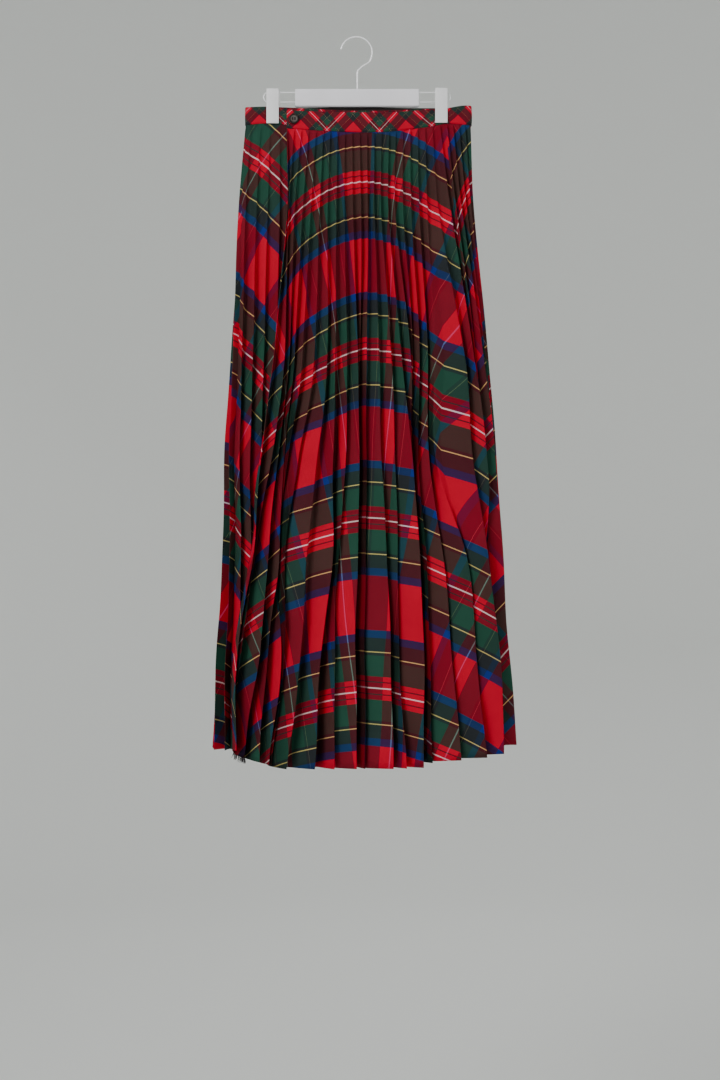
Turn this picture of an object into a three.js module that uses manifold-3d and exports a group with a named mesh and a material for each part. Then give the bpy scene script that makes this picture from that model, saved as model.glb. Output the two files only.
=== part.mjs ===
// A long wrap skirt of tartan cloth, accordion-pleated, clipped by its waistband to a hanger.
// Millimetres, +Z up, the front faces -Y. The origin is inside the top of the hanger's hook.
import * as THREE from 'three';
import Module from 'manifold-3d';
import { mergeVertices } from 'three/addons/utils/BufferGeometryUtils.js';

const wasm = await Module();
wasm.setup();

// ---- Driving dimensions ----

const GAP = 0.3; // between pieces that meet
const SEAM = 0.9; // between two panels, along the cloth
const CLOTH = 1; // wall of the pleated cloth
const BAND = 2.2; // waistband: two layers of cloth over a stiffener

// Each of the four panels is cut as a quarter circle and pleated along its radii.
const WAIST_RADIUS = 217.5;
const HEM_DROP = 952; // length of a pleat, from the waistband to the hem
const PLEAT_DEG = 3.75;
const PANEL_PLEATS = 24;

// The pleats are counted by their outer creases, the lips, once round the whole wrap.
const FIRST_LIP = -10; // the front wrap's free edge
const FRONT_SEAM = 12; // front panel to right back panel
const BACK_SEAM = FRONT_SEAM + PANEL_PLEATS;
const UNDER_SEAM = BACK_SEAM + PANEL_PLEATS;
const LAST_LIP = UNDER_SEAM + PANEL_PLEATS; // the under wrap's free edge

const LEAST_DEPTH = 0.22; // of a face's width
const [SHUT, OPEN] = [0.25, 0.7]; // pitch over a face's width: wholly tucked behind, and not at all
const TUCKED_DEPTH = 0.75; // of the valley's depth, how deep the lip of a tucked pleat is
const TURN_SHARE = 0.7; // of the radius, how deep a pleat is where the cloth turns round a side

// The wrap in plan view, at seven heights down its length. left and right are the sides' x.
// outer, inner and back are the distances from the middle plane to the lips of the front panel,
// of the under wrap and of the back. rightPleat and leftPleat are the lips at the two sides.
// The three deep columns are the most that a pleat is deep, and stray how uneven the pleats are.
// share is how much of the way from lip to lip the showing face takes, and lean how far a pleat
// leans along the cloth for each millimetre of depth.
const PLAN_COLUMNS = ['name', 'drop', 'left', 'right', 'outer', 'inner', 'back', 'frontBow', 'backBow',
  'rightPleat', 'leftPleat', 'underSeam', 'underEdge', 'frontDeep', 'backDeep', 'underDeep', 'stray',
  'share', 'lean'];
const PLAN = rowsOf(PLAN_COLUMNS, [
  ['waist', 0, -168, 172, 5.6, 2, 5, 6, 3, 16.5, 55.2, -102, 140, 2, 2, 1.6, 0, 0.52, 0],
  ['hip', 123, -179, 176, 14, 4.5, 12, 4, 2, 16.4, 55, -99, 139, 7, 7, 6.5, 1, 0.55, 0.05],
  ['thigh', 355, -192, 199, 29, 10, 27, 3, 1, 15.5, 54.3, -102, 142, 14, 15, 12, 2.5, 0.68, 0.2],
  ['knee', 505, -200, 211, 37, 12.5, 35, 2, 0, 14.8, 53.8, -104, 145, 18, 20, 15, 4, 0.8, 0.3],
  ['calf', 655, -205, 223, 44, 15, 43, 0, 0, 14.4, 53.3, -104, 147, 23, 25, 19, 5, 0.88, 0.35],
  ['ankle', 790, -214, 229, 49, 17, 49, 0, 0, 14.2, 52.9, -102, 146, 26, 28, 22, 6, 0.88, 0.35],
  ['hem', HEM_DROP, -223, 242, 54, 18, 56, 0, 0, 13.9, 52.5, -100, 146, 30, 32, 26, 7, 0.88, 0.35],
]);
const BOW_HALF = 116; // the waist opens between the clips, this far each side of the middle

// The front panel's lips: the most of the way from the lip before it that its showing face takes,
// and where it lies across the front at each height.
const LIP_COLUMNS = ['lip', 'most', 'waist', 'hip', 'thigh', 'knee', 'calf', 'ankle', 'hem'];
const FRONT_LIPS = rowsOf(LIP_COLUMNS, [
  [-10, 1, -105, -103.5, -124, -141, -153.5, -175, -177],
  [-9, 0.6, -94, -101.5, -108, -125, -149, -170, -172.5],
  [-8, 0.7, -83, -93, -100, -114.5, -131, -143, -161.5],
  [-7, 0.6, -72, -81, -93, -105, -113, -129.5, -139.5],
  [-6, 0.7, -61, -69, -82, -101.5, -110, -109, -122],
  [-5, 1, -50, -56, -64, -88, -106.5, -105, -117.5],
  [-4, 1, -40, -44, -44, -60, -74, -84, -101.5],
  [-3, 0.62, -29, -31, -32, -36, -35.5, -54.5, -61.5],
  [-2, 0.55, -18, -19, -14.3, -17.7, -27.5, -33, -33.7],
  [-1, 1, -7, -6, 2.3, 3, 1.5, -1.4, -0.6],
  [0, 1, 4, 6, 7, 7.5, 5.5, 3.5, 4],
  [1, 1, 15, 16, 13.8, 12.5, 11.5, 9, 8.5],
  [2, 1, 26, 26, 34, 37, 45, 51.5, 53],
  [3, 1, 37, 36, 52.4, 57.4, 60, 63.5, 73.5],
  [4, 1, 48, 47, 68, 84.3, 93, 99.5, 100],
  [5, 1, 58, 57, 81.5, 86, 95.5, 101.5, 102],
  [6, 1, 69, 69, 86, 88, 98, 103.5, 104.5],
  [7, 1, 80, 81, 94, 93, 100.5, 106.5, 107],
  [8, 1, 91, 93, 106, 109, 128, 139, 155.5],
  [9, 1, 102, 105, 115, 116, 164, 174, 192],
  [10, 1, 113, 121, 160, 172, 195, 210, 219],
  [11, 1, 124, 139, 174, 193, 205, 214, 222.5],
  [12, 1, 134.5, 147.5, 180, 200, 211, 220, 229],
]);

// The waistband's edges, and how far the hem hangs below it, at places along the band.
const BAND_COLUMNS = ['place', 'x', 'top', 'low', 'fall'];
const BAND_PLACES = rowsOf(BAND_COLUMNS, [
  ['front', -105, -109, -137, 926],
  ['front', -86, -112, -138.5, 936],
  ['front', -50, -113.5, -141.5, 948],
  ['front', 6, -115, -144, 946],
  ['front', 50, -114.5, -142.5, 946],
  ['front', 105, -110, -135, 938],
  ['front', 135, -107, -129.5, 930],
  ['front', 158, -103.5, -131, 930],
  ['right side', 172, -103.5, -132, 932],
  ['back', 120, -105.2, -132, 936],
  ['back', 0, -106, -134, 945],
  ['back', -120, -105.2, -130, 938],
  ['left side', -168, -105, -131, 937],
  ['inner', -140, -104, -128.5, 937],
  ['inner', -106, -105.5, -130.5, 936],
  ['inner', 6, -112, -140, 938],
  ['inner', 140, -106, -131, 940],
]);

const FRINGE_REACH = 12; // frayed threads below the hem
const FRINGE_WALL = 2;

const BUTTON = { x: -94.2, z: -123.9, radius: 7.5, thick: 3, rim: 1.5, dish: 0.8, hole: 0.8, spread: 1.7 };

const HOOK = { wire: 1.2, bend: 23.7, tipDeg: 166, endDeg: -38, foot: -78.2 + GAP, stations: 12 };
const HOOK_CENTRE = { x: -1, z: HOOK.wire - HOOK.bend };
const HOOK_NECK = [[9.9, -41.5], [3.4, -47.5], [0.6, -54], [0.4, -62]]; // x, z down to the straight

const BAR = { left: -92.6, right: 92.6, top: -78.2, low: -104.3, thick: 9, corner: 0.6, soft: 0.6 };
const LOOP = { wire: 0.9, left: -140, right: 140, high: -82.4, low: -97, bendSteps: 8 };

const CLIP = { wide: 18.4, high: 52, thick: 3, top: -77.5, corner: 1, soft: 0.6, pad: 5.3 };
const CLIPS = [
  { side: 'left', x: -126.4, front: 2 + GAP },
  { side: 'right', x: 126.2, front: 5.6 + GAP },
];

// ---- Helpers ----

function rowsOf(columns, rows) {
  return rows.map((row) => Object.fromEntries(columns.map((name, i) => [name, row[i]])));
}

const radians = THREE.MathUtils.degToRad;
const lerp = THREE.MathUtils.lerp;
const clamp = THREE.MathUtils.clamp;

// The value of a column at a place between rows that are sorted by key, on a smooth line.
function along(rows, key, value, column) {
  const after = clamp(rows.findIndex((row) => row[key] > value), 1, rows.length - 1);
  const last = value >= rows.at(-1)[key];
  const i = last ? rows.length - 2 : after - 1;
  const [a, b] = [rows[i], rows[i + 1]];
  const slope = (j) => {
    const [p, q] = [rows[Math.max(j - 1, 0)], rows[Math.min(j + 1, rows.length - 1)]];
    return (q[column] - p[column]) / (q[key] - p[key]);
  };
  const wide = b[key] - a[key];
  const t = clamp((value - a[key]) / wide, 0, 1);
  return (2 * t ** 3 - 3 * t ** 2 + 1) * a[column] + (t ** 3 - 2 * t ** 2 + t) * wide * slope(i)
    + (3 * t ** 2 - 2 * t ** 3) * b[column] + (t ** 3 - t ** 2) * wide * slope(i + 1);
}

function bodyOf(geometry) {
  const bare = geometry.clone();
  bare.deleteAttribute('normal');
  bare.deleteAttribute('uv');
  const merged = mergeVertices(bare, 1e-4);
  return new wasm.Manifold(new wasm.Mesh({
    numProp: 3,
    vertProperties: merged.attributes.position.array,
    triVerts: new Uint32Array(merged.index.array),
  }));
}

function geometryOf(body) {
  const mesh = body.getMesh();
  const geometry = new THREE.BufferGeometry();
  geometry.setAttribute('position', new THREE.BufferAttribute(mesh.vertProperties, 3));
  geometry.setIndex(new THREE.BufferAttribute(mesh.triVerts, 1));
  return geometry;
}

// A closed wall between two grids of points, each a list of rows from top to bottom.
function wallBetween(outer, inner) {
  const [rows, columns] = [outer.length, outer[0].length];
  const points = [...outer, ...inner].flat(2);
  const out = (j, i) => j * columns + i;
  const back = (j, i) => (rows + j) * columns + i;
  const faces = [];
  const quad = (a, b, c, d) => faces.push(a, b, c, a, c, d);
  for (let i = 0; i + 1 < columns; i++) {
    for (let j = 0; j + 1 < rows; j++) {
      quad(out(j, i), out(j + 1, i), out(j + 1, i + 1), out(j, i + 1));
      quad(back(j, i), back(j, i + 1), back(j + 1, i + 1), back(j + 1, i));
    }
    const end = rows - 1;
    quad(out(0, i), out(0, i + 1), back(0, i + 1), back(0, i));
    quad(out(end, i), back(end, i), back(end, i + 1), out(end, i + 1));
  }
  for (let j = 0; j + 1 < rows; j++) {
    const end = columns - 1;
    quad(out(j, 0), back(j, 0), back(j + 1, 0), out(j + 1, 0));
    quad(out(j, end), out(j + 1, end), back(j + 1, end), back(j, end));
  }
  const geometry = new THREE.BufferGeometry();
  geometry.setAttribute('position', new THREE.Float32BufferAttribute(points, 3));
  geometry.setIndex(faces);
  return geometry;
}

// ---- The route of the cloth in plan view ----

const ROUTE = { start: -215, end: 200, step: 12, turnSteps: 10 };

// The line that the lips follow at one height: across the front, round the right side, across
// the back, round the left side, and across the front again behind the front panel.
function routeAt(plan) {
  const bow = (x) => Math.max(0, 1 - (x / BOW_HALF) ** 2);
  const rightTurn = (plan.outer + plan.back) / 2;
  const leftTurn = (plan.back + plan.inner) / 2;
  const rightX = plan.right - rightTurn;
  const leftX = plan.left + leftTurn;
  const points = [];
  const straight = (part, from, to, yOf) => {
    const steps = Math.ceil(Math.abs(to - from) / ROUTE.step);
    for (let i = 0; i <= steps; i++) {
      const x = lerp(from, to, i / steps);
      points.push({ part, x, y: yOf(x), turn: Infinity });
    }
  };
  const turn = (part, x, y, radius, fromDeg, toDeg) => {
    for (let i = 1; i < ROUTE.turnSteps; i++) {
      const angle = radians(lerp(fromDeg, toDeg, i / ROUTE.turnSteps));
      points.push({ part, x: x + radius * Math.cos(angle), y: y + radius * Math.sin(angle), turn: radius });
    }
  };
  straight('front', ROUTE.start, rightX, (x) => -plan.outer - plan.frontBow * bow(x));
  turn('right side', rightX, (plan.back - plan.outer) / 2, rightTurn, -90, 90);
  straight('back', rightX, leftX, (x) => plan.back + plan.backBow * bow(x));
  turn('left side', leftX, (plan.back - plan.inner) / 2, leftTurn, 90, 270);
  straight('inner', leftX, ROUTE.end, (x) => -plan.inner - plan.frontBow * bow(x));
  let s = 0;
  points.forEach((p, i) => {
    const [before, after] = [points[Math.max(i - 1, 0)], points[Math.min(i + 1, points.length - 1)]];
    const [dx, dy] = [after.x - before.x, after.y - before.y];
    const long = Math.hypot(dx, dy);
    p.outX = dy / long;
    p.outY = -dx / long;
    if (i) s += Math.hypot(p.x - points[i - 1].x, p.y - points[i - 1].y);
    p.s = s;
  });
  return points;
}

// Where the route passes x on its front, back or inner stretch. The front stretch goes on round
// the right side as far as the side's middle.
function passing(route, part, x) {
  const stretch = route.filter((p) => p.part === part);
  if (part === 'front') {
    const side = route.filter((p) => p.part === 'right side');
    stretch.push(...side.slice(0, (side.length + 1) / 2));
  }
  const rising = part === 'back' ? stretch.reverse() : stretch;
  const i = clamp(rising.findIndex((p) => p.x > x) - 1, 0, rising.length - 2);
  const [a, b] = [rising[i], rising[i + 1]];
  return lerp(a.s, b.s, (x - a.x) / (b.x - a.x));
}

function sideOf(route, part) {
  const side = route.filter((p) => p.part === part);
  return side[(side.length - 1) / 2].s;
}

function placeOf(route, place, x) {
  return place.endsWith('side') ? sideOf(route, place) : passing(route, place, x);
}

// The point at s along the route, moved in from the lips by depth.
function pointAt(route, s, depth) {
  const i = clamp(route.findIndex((p) => p.s > s) - 1, 0, route.length - 2);
  const [a, b] = [route[i], route[i + 1]];
  const t = (s - a.s) / (b.s - a.s);
  const [outX, outY] = [lerp(a.outX, b.outX, t), lerp(a.outY, b.outY, t)];
  const long = Math.hypot(outX, outY);
  return {
    x: lerp(a.x, b.x, t) - depth * outX / long,
    y: lerp(a.y, b.y, t) - depth * outY / long,
    outX: outX / long,
    outY: outY / long,
    turn: Math.min(a.turn, b.turn),
  };
}

// ---- The pleats ----

// Where each lip lies along the route. The back's and the under wrap's lips are spread evenly
// between the seams and the sides, and stray a little from there.
function lipsAt(plan, route) {
  const marks = [
    { lip: FRONT_SEAM, s: passing(route, 'front', FRONT_LIPS.at(-1)[plan.name]) },
    { lip: plan.rightPleat, s: sideOf(route, 'right side') },
    { lip: BACK_SEAM, s: passing(route, 'back', 3) },
    { lip: plan.leftPleat, s: sideOf(route, 'left side') },
    { lip: UNDER_SEAM, s: passing(route, 'inner', plan.underSeam) },
    { lip: LAST_LIP, s: passing(route, 'inner', plan.underEdge) },
  ];
  const lips = new Map(FRONT_LIPS.map((row) => [row.lip, passing(route, 'front', row[plan.name])]));
  for (let lip = FRONT_SEAM + 1; lip <= LAST_LIP; lip++) {
    const i = clamp(marks.findIndex((m) => m.lip > lip) - 1, 0, marks.length - 2);
    const last = lip === LAST_LIP ? marks.length - 2 : i;
    const [a, b] = [marks[last], marks[last + 1]];
    const calm = Math.min(1, (LAST_LIP - lip) / 3, (lip - FRONT_SEAM) / 3);
    const stray = plan.stray * calm * (Math.sin(1.7 * lip + 0.6) + 0.6 * Math.sin(0.61 * lip + 2));
    lips.set(lip, lerp(a.s, b.s, (lip - a.lip) / (b.lip - a.lip)) + 0.5 * stray);
  }
  return lips;
}

// The creases at one height, from the free edge of the front to that of the under wrap.
// A valley is as deep as the true width of the face between it and the next lip makes it.
function creasesAt(plan) {
  const route = routeAt(plan);
  const lips = lipsAt(plan, route);
  const face = (WAIST_RADIUS + plan.drop) * radians(PLEAT_DEG / 2);
  const { lean } = plan;
  const creases = [{ lip: FIRST_LIP, s: lips.get(FIRST_LIP), depth: 0 }];
  for (let lip = FIRST_LIP + 1; lip <= LAST_LIP; lip++) {
    const front = FRONT_LIPS.find((row) => row.lip === lip);
    const pitch = lips.get(lip) - lips.get(lip - 1);
    const across = pitch * Math.min(plan.share, front?.most ?? 1);
    const deepest = lip <= FRONT_SEAM ? plan.frontDeep : lip <= UNDER_SEAM ? plan.backDeep : plan.underDeep;
    const turn = TURN_SHARE * pointAt(route, lips.get(lip), 0).turn;
    const most = Math.min(deepest, turn);
    const left = Math.max(face ** 2 * (1 + lean ** 2) - across ** 2, 0);
    const trueDepth = (Math.sqrt(left) - across * lean) / (1 + lean ** 2);
    const depth = clamp(trueDepth, Math.min(LEAST_DEPTH * face, most), most);
    const closed = clamp((OPEN - pitch / face) / (OPEN - SHUT), 0, 1);
    const tucked = front ? closed : 0.1 + 0.1 * Math.sin(2.3 * lip);
    const lipDepth = TUCKED_DEPTH * tucked * depth;
    creases.push({ lip: lip - 0.5, s: lips.get(lip) - across - lean * depth, depth });
    creases.push({ lip, s: lips.get(lip) - lean * lipDepth, depth: lipDepth });
  }
  return creases.map((c) => ({ ...c, ...pointAt(route, c.s, c.depth) }));
}

const waistRoute = routeAt(PLAN[0]);
const bandPlaces = BAND_PLACES.map((row) => ({ ...row, s: placeOf(waistRoute, row.place, row.x) }));
const bandAt = (s, column) => along(bandPlaces, 's', s, column);
const bandFrom = passing(waistRoute, 'front', FRONT_LIPS[0].waist);
const bandTo = passing(waistRoute, 'inner', PLAN[0].underEdge);
const bandStations = [
  bandFrom,
  ...waistRoute.map((p) => p.s).filter((s) => s > bandFrom + 1 && s < bandTo - 1),
  bandTo,
];

// The top of the cloth, just under the waistband's straight stretches from station to station.
function clothTop(s) {
  const i = clamp(bandStations.findIndex((station) => station > s) - 1, 0, bandStations.length - 2);
  const [a, b] = [bandStations[i], bandStations[i + 1]];
  return lerp(bandAt(a, 'low'), bandAt(b, 'low'), clamp((s - a) / (b - a), 0, 1)) - 2 * GAP;
}

const creasesByHeight = PLAN.map(creasesAt);

// The creases of one panel, row by row. At a seam the cloth is cut halfway across a face.
function panelRows(firstLip, lastLip) {
  const waist = creasesByHeight[0];
  return PLAN.map((plan, j) => {
    const creases = creasesByHeight[j];
    const cut = (lip, side) => {
      const i = creases.findIndex((c) => c.lip === lip - 0.5);
      const [a, b] = [creases[i], creases[i + 1]];
      const long = Math.hypot(b.x - a.x, b.y - a.y);
      const t = 0.5 + side * 0.5 * SEAM / long;
      return { lip: lip - 0.25, x: lerp(a.x, b.x, t), y: lerp(a.y, b.y, t), index: i + t };
    };
    const row = creases
      .map((c, index) => ({ ...c, index }))
      .filter((c) => c.lip >= firstLip && c.lip < lastLip - 0.25);
    if (firstLip > FIRST_LIP) row.unshift(cut(firstLip, 1));
    row.push(lastLip < LAST_LIP ? cut(lastLip, -1) : { ...creases.at(-1), index: creases.length - 1 });
    return row.map((c) => {
      const [a, b] = [waist[Math.floor(c.index)], waist[Math.min(Math.floor(c.index) + 1, waist.length - 1)]];
      const s = lerp(a.s, b.s, c.index % 1);
      return [c.x, c.y, clothTop(s) - plan.drop * bandAt(s, 'fall') / HEM_DROP];
    });
  });
}

// The wall's two sides for rows of points: each point is moved square to the cloth, by half the
// wall, and a little further at a crease.
function thicken(rows, wall) {
  const sides = [1, -1].map((side) => rows.map((row) => row.map(([x, y, z], i) => {
    const normals = [[i - 1, i], [i, i + 1]]
      .filter(([a, b]) => a >= 0 && b < row.length)
      .map(([a, b]) => {
        const [dx, dy] = [row[b][0] - row[a][0], row[b][1] - row[a][1]];
        const long = Math.hypot(dx, dy);
        return [dy / long, -dx / long];
      });
    const [first, last] = [normals[0], normals.at(-1)];
    const sum = [first[0] + last[0], first[1] + last[1]];
    const long = Math.hypot(...sum);
    const away = side * wall / 2 / Math.max(long / 2, 0.6);
    return [x + away * sum[0] / long, y + away * sum[1] / long, z];
  })));
  return wallBetween(...sides);
}

const frontRows = panelRows(FIRST_LIP, FRONT_SEAM);
const underRows = panelRows(UNDER_SEAM, LAST_LIP);

// Frayed threads below the hem between two of its creases.
function fringe(hem, from, to) {
  const top = hem.slice(from, to).map(([x, y, z]) => [x, y, z - 3 * GAP]);
  const low = top.map(([x, y, z]) => [x, y, z - FRINGE_REACH]);
  return thicken([top, low], FRINGE_WALL);
}

function waistband() {
  const rowsAt = (depth) => ['top', 'low'].map((edge) => bandStations.map((s) => {
    const p = pointAt(waistRoute, s, depth);
    return [p.x, p.y, bandAt(s, edge)];
  }));
  return wallBetween(rowsAt(0), rowsAt(BAND));
}

function button() {
  const { radius, thick, rim, dish, hole, spread } = BUTTON;
  const profile = [[0, 0], [radius - 1, 0], [radius, 1], [radius, thick - 0.7], [radius - 0.6, thick],
    [radius - rim, thick], [radius - rim - 1, thick - dish], [0, thick - dish]];
  const disc = new THREE.LatheGeometry(profile.map(([r, h]) => new THREE.Vector2(r, h)), 28);
  let body = bodyOf(disc);
  for (const [x, z] of [[-spread, -spread], [spread, -spread], [spread, spread], [-spread, spread]]) {
    const drill = new THREE.CylinderGeometry(hole, hole, 3 * thick, 10).translate(x, 0, z);
    body = body.subtract(bodyOf(drill));
  }
  return geometryOf(body);
}

// A plate in the XZ plane with round corners, from y = 0 back to y = thick.
function plate(wide, high, thick, corner, soft) {
  const [w, h] = [wide / 2 - soft, high - 2 * soft];
  const shape = new THREE.Shape();
  shape.moveTo(-w + corner, 0);
  shape.lineTo(w - corner, 0);
  shape.absarc(w - corner, corner, corner, -Math.PI / 2, 0, false);
  shape.lineTo(w, h - corner);
  shape.absarc(w - corner, h - corner, corner, 0, Math.PI / 2, false);
  shape.lineTo(-w + corner, h);
  shape.absarc(-w + corner, h - corner, corner, Math.PI / 2, Math.PI, false);
  shape.lineTo(-w, corner);
  shape.absarc(-w + corner, corner, corner, Math.PI, 1.5 * Math.PI, false);
  const geometry = new THREE.ExtrudeGeometry(shape, {
    depth: thick - 2 * soft,
    bevelThickness: soft,
    bevelSize: soft,
    bevelSegments: 1,
    curveSegments: 5,
  });
  return geometry.rotateX(Math.PI / 2).translate(0, thick - soft, soft);
}

// The hanger's wire loop: two straight runs joined by half circles, with a station at each
// bend's step and none between the ends of a run.
class LoopLine extends THREE.Curve {
  constructor() {
    super();
    const { left, right, high, low, bendSteps } = LOOP;
    const bend = (high - low) / 2;
    const middle = (high + low) / 2;
    const half = (x, fromDeg) => Array.from({ length: bendSteps + 1 }, (_, i) => {
      const angle = radians(fromDeg + 180 * i / bendSteps);
      return new THREE.Vector3(x + bend * Math.cos(angle), 0, middle + bend * Math.sin(angle));
    });
    this.stations = [...half(right - bend, -90), ...half(left + bend, 90)];
  }

  getPoint(t) {
    const count = this.stations.length;
    const at = (t % 1) * count;
    const [a, b] = [this.stations[Math.floor(at)], this.stations[(Math.floor(at) + 1) % count]];
    return a.clone().lerp(b, at % 1);
  }

  getTangent(t) {
    const half = 0.5 / this.stations.length;
    return this.getPoint(t + half).sub(this.getPoint(t + 1 - half)).normalize();
  }

  getUtoTmapping(u) {
    return u;
  }
}

function loopOf(radius) {
  const line = new LoopLine();
  return new THREE.TubeGeometry(line, line.stations.length, radius, 8, true);
}

function hook() {
  const { wire, bend, tipDeg, endDeg, foot, stations } = HOOK;
  const arc = Array.from({ length: stations }, (_, i) => {
    const angle = radians(lerp(tipDeg, endDeg, i / (stations - 1)));
    return new THREE.Vector3(HOOK_CENTRE.x + bend * Math.cos(angle), 0, HOOK_CENTRE.z + bend * Math.sin(angle));
  });
  const neck = [...HOOK_NECK, [HOOK_NECK.at(-1)[0], foot]].map(([x, z]) => new THREE.Vector3(x, 0, z));
  const section = new THREE.Shape();
  section.absarc(0, 0, wire, 0, 2 * Math.PI, false);
  return new THREE.ExtrudeGeometry(section, {
    steps: 44,
    curveSegments: 5,
    extrudePath: new THREE.CatmullRomCurve3([...arc, ...neck], false, 'centripetal'),
  });
}

function bar() {
  const { left, right, top, low, thick, corner, soft } = BAR;
  const body = plate(right - left, top - low, thick, corner, soft)
    .translate((left + right) / 2, -thick / 2, low);
  return geometryOf(bodyOf(body).subtract(bodyOf(loopOf(LOOP.wire + GAP))));
}

// A clip's jaw: a plate in front of or behind the cloth, with a rib between the loop's two wires
// that meets the other jaw's rib. side is -1 in front and 1 behind.
function jaw(x, side, away) {
  const { wide, high, thick, top, corner, soft } = CLIP;
  const face = plate(wide, high, thick, corner, soft).translate(x, side > 0 ? away : -away - thick, top - high);
  const clear = LOOP.wire + GAP;
  const ribHigh = LOOP.high - LOOP.low - 2 * clear;
  const ribDeep = away - GAP / 2 + thick / 2;
  const rib = new THREE.BoxGeometry(wide - 4, ribDeep, ribHigh)
    .translate(x, side * (GAP / 2 + ribDeep / 2), (LOOP.high + LOOP.low) / 2);
  return geometryOf(bodyOf(face).add(bodyOf(rib)));
}

// ---- The parts ----

const finish = (colour, roughness, metalness = 0) =>
  new THREE.MeshStandardMaterial({ color: colour, roughness, metalness, side: THREE.DoubleSide });
const TARTAN = [0xb01c2e, 0.85];
const STEEL = [0xc8c8c8, 0.25, 1];
const PLASTIC = [0xc9c9cb, 0.45];

function piece(name, geometry, look) {
  const mesh = new THREE.Mesh(geometry, finish(...look));
  mesh.name = name;
  return mesh;
}

const skirt = new THREE.Group();
skirt.add(piece('waistband', waistband(), TARTAN));
skirt.add(piece('front_wrap_panel', thicken(frontRows, CLOTH), TARTAN));
skirt.add(piece('right_back_panel', thicken(panelRows(FRONT_SEAM, BACK_SEAM), CLOTH), TARTAN));
skirt.add(piece('left_back_panel', thicken(panelRows(BACK_SEAM, UNDER_SEAM), CLOTH), TARTAN));
skirt.add(piece('under_wrap_panel', thicken(underRows, CLOTH), TARTAN));
skirt.add(piece('front_edge_fringe', fringe(frontRows.at(-1), 2, 6), TARTAN));
skirt.add(piece('under_edge_fringe', fringe(underRows.at(-1), -4, underRows.at(-1).length), TARTAN));

const seat = pointAt(waistRoute, passing(waistRoute, 'front', BUTTON.x), -GAP);
const buttonMesh = piece('button', button(), [0x4a443f, 0.4]);
buttonMesh.quaternion.setFromUnitVectors(
  new THREE.Vector3(0, 1, 0),
  new THREE.Vector3(seat.outX, seat.outY, 0),
);
buttonMesh.position.set(seat.x, seat.y, BUTTON.z);
skirt.add(buttonMesh);

const hanger = new THREE.Group();
hanger.add(piece('hanger_hook', hook(), STEEL));
hanger.add(piece('hanger_bar', bar(), PLASTIC));
hanger.add(piece('hanger_wire', loopOf(LOOP.wire), STEEL));
for (const { side, x, front } of CLIPS) {
  hanger.add(piece(`clip_${side}_front_jaw`, jaw(x, -1, front), PLASTIC));
  hanger.add(piece(`clip_${side}_back_jaw`, jaw(x, 1, CLIP.pad), PLASTIC));
}

const object = new THREE.Group();
object.add(skirt, hanger);
export default object;
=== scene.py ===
"""A long wrap skirt of pleated tartan, clipped by its waistband to a hanger.

The sections follow the making: waistband, pleated panels, frayed corners, button, hanger, studio.
Sizes are in millimetres up to the point where a mesh is made, and meshes are in metres.
"""
import math

import bmesh
import bpy
import numpy as np
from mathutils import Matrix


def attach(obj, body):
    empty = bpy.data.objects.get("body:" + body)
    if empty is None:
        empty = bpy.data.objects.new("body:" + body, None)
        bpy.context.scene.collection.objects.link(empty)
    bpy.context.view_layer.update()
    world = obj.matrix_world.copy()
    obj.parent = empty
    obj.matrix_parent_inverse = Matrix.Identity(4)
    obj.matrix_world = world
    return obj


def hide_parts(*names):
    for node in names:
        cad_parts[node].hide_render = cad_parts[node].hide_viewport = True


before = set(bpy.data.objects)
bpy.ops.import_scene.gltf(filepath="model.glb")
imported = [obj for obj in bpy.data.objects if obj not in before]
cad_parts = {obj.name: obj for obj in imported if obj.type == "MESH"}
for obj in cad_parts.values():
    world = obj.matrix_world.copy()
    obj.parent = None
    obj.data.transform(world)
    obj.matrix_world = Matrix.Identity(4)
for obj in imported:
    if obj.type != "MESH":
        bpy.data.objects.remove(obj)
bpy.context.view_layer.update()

# ---- The waistband ----
# One strip of the tartan, cut on the bias and folded double over a stiffener, and dark on its
# inside. It runs from the overlap's end right round the body and on behind the front, to the end
# of the under wrap.

MM = 0.001
SEWN_IN = 3.0  # how far the pleats reach up inside the band
BAND_WALL = 2.2
BAND_CLOTH = 0.5
BAND_DEEP = 29  # its height, about
BAND_PUFF = 0.25  # how far each layer bulges out halfway up
BAND_STEP = 2.5
BAND_END_ROUND = 1.8
BAND_END_STEPS = np.array([0.3, 0.8, 1.5])  # places from either end that follow its rounding
BAND_SIDE_POINTS, BAND_FOLD_POINTS = 8, 6
BAND_SWAY = [(0.25, 17, 0), (0.2, 7.3, 2)]  # waves: size, mm of route for a radian, start

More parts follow.
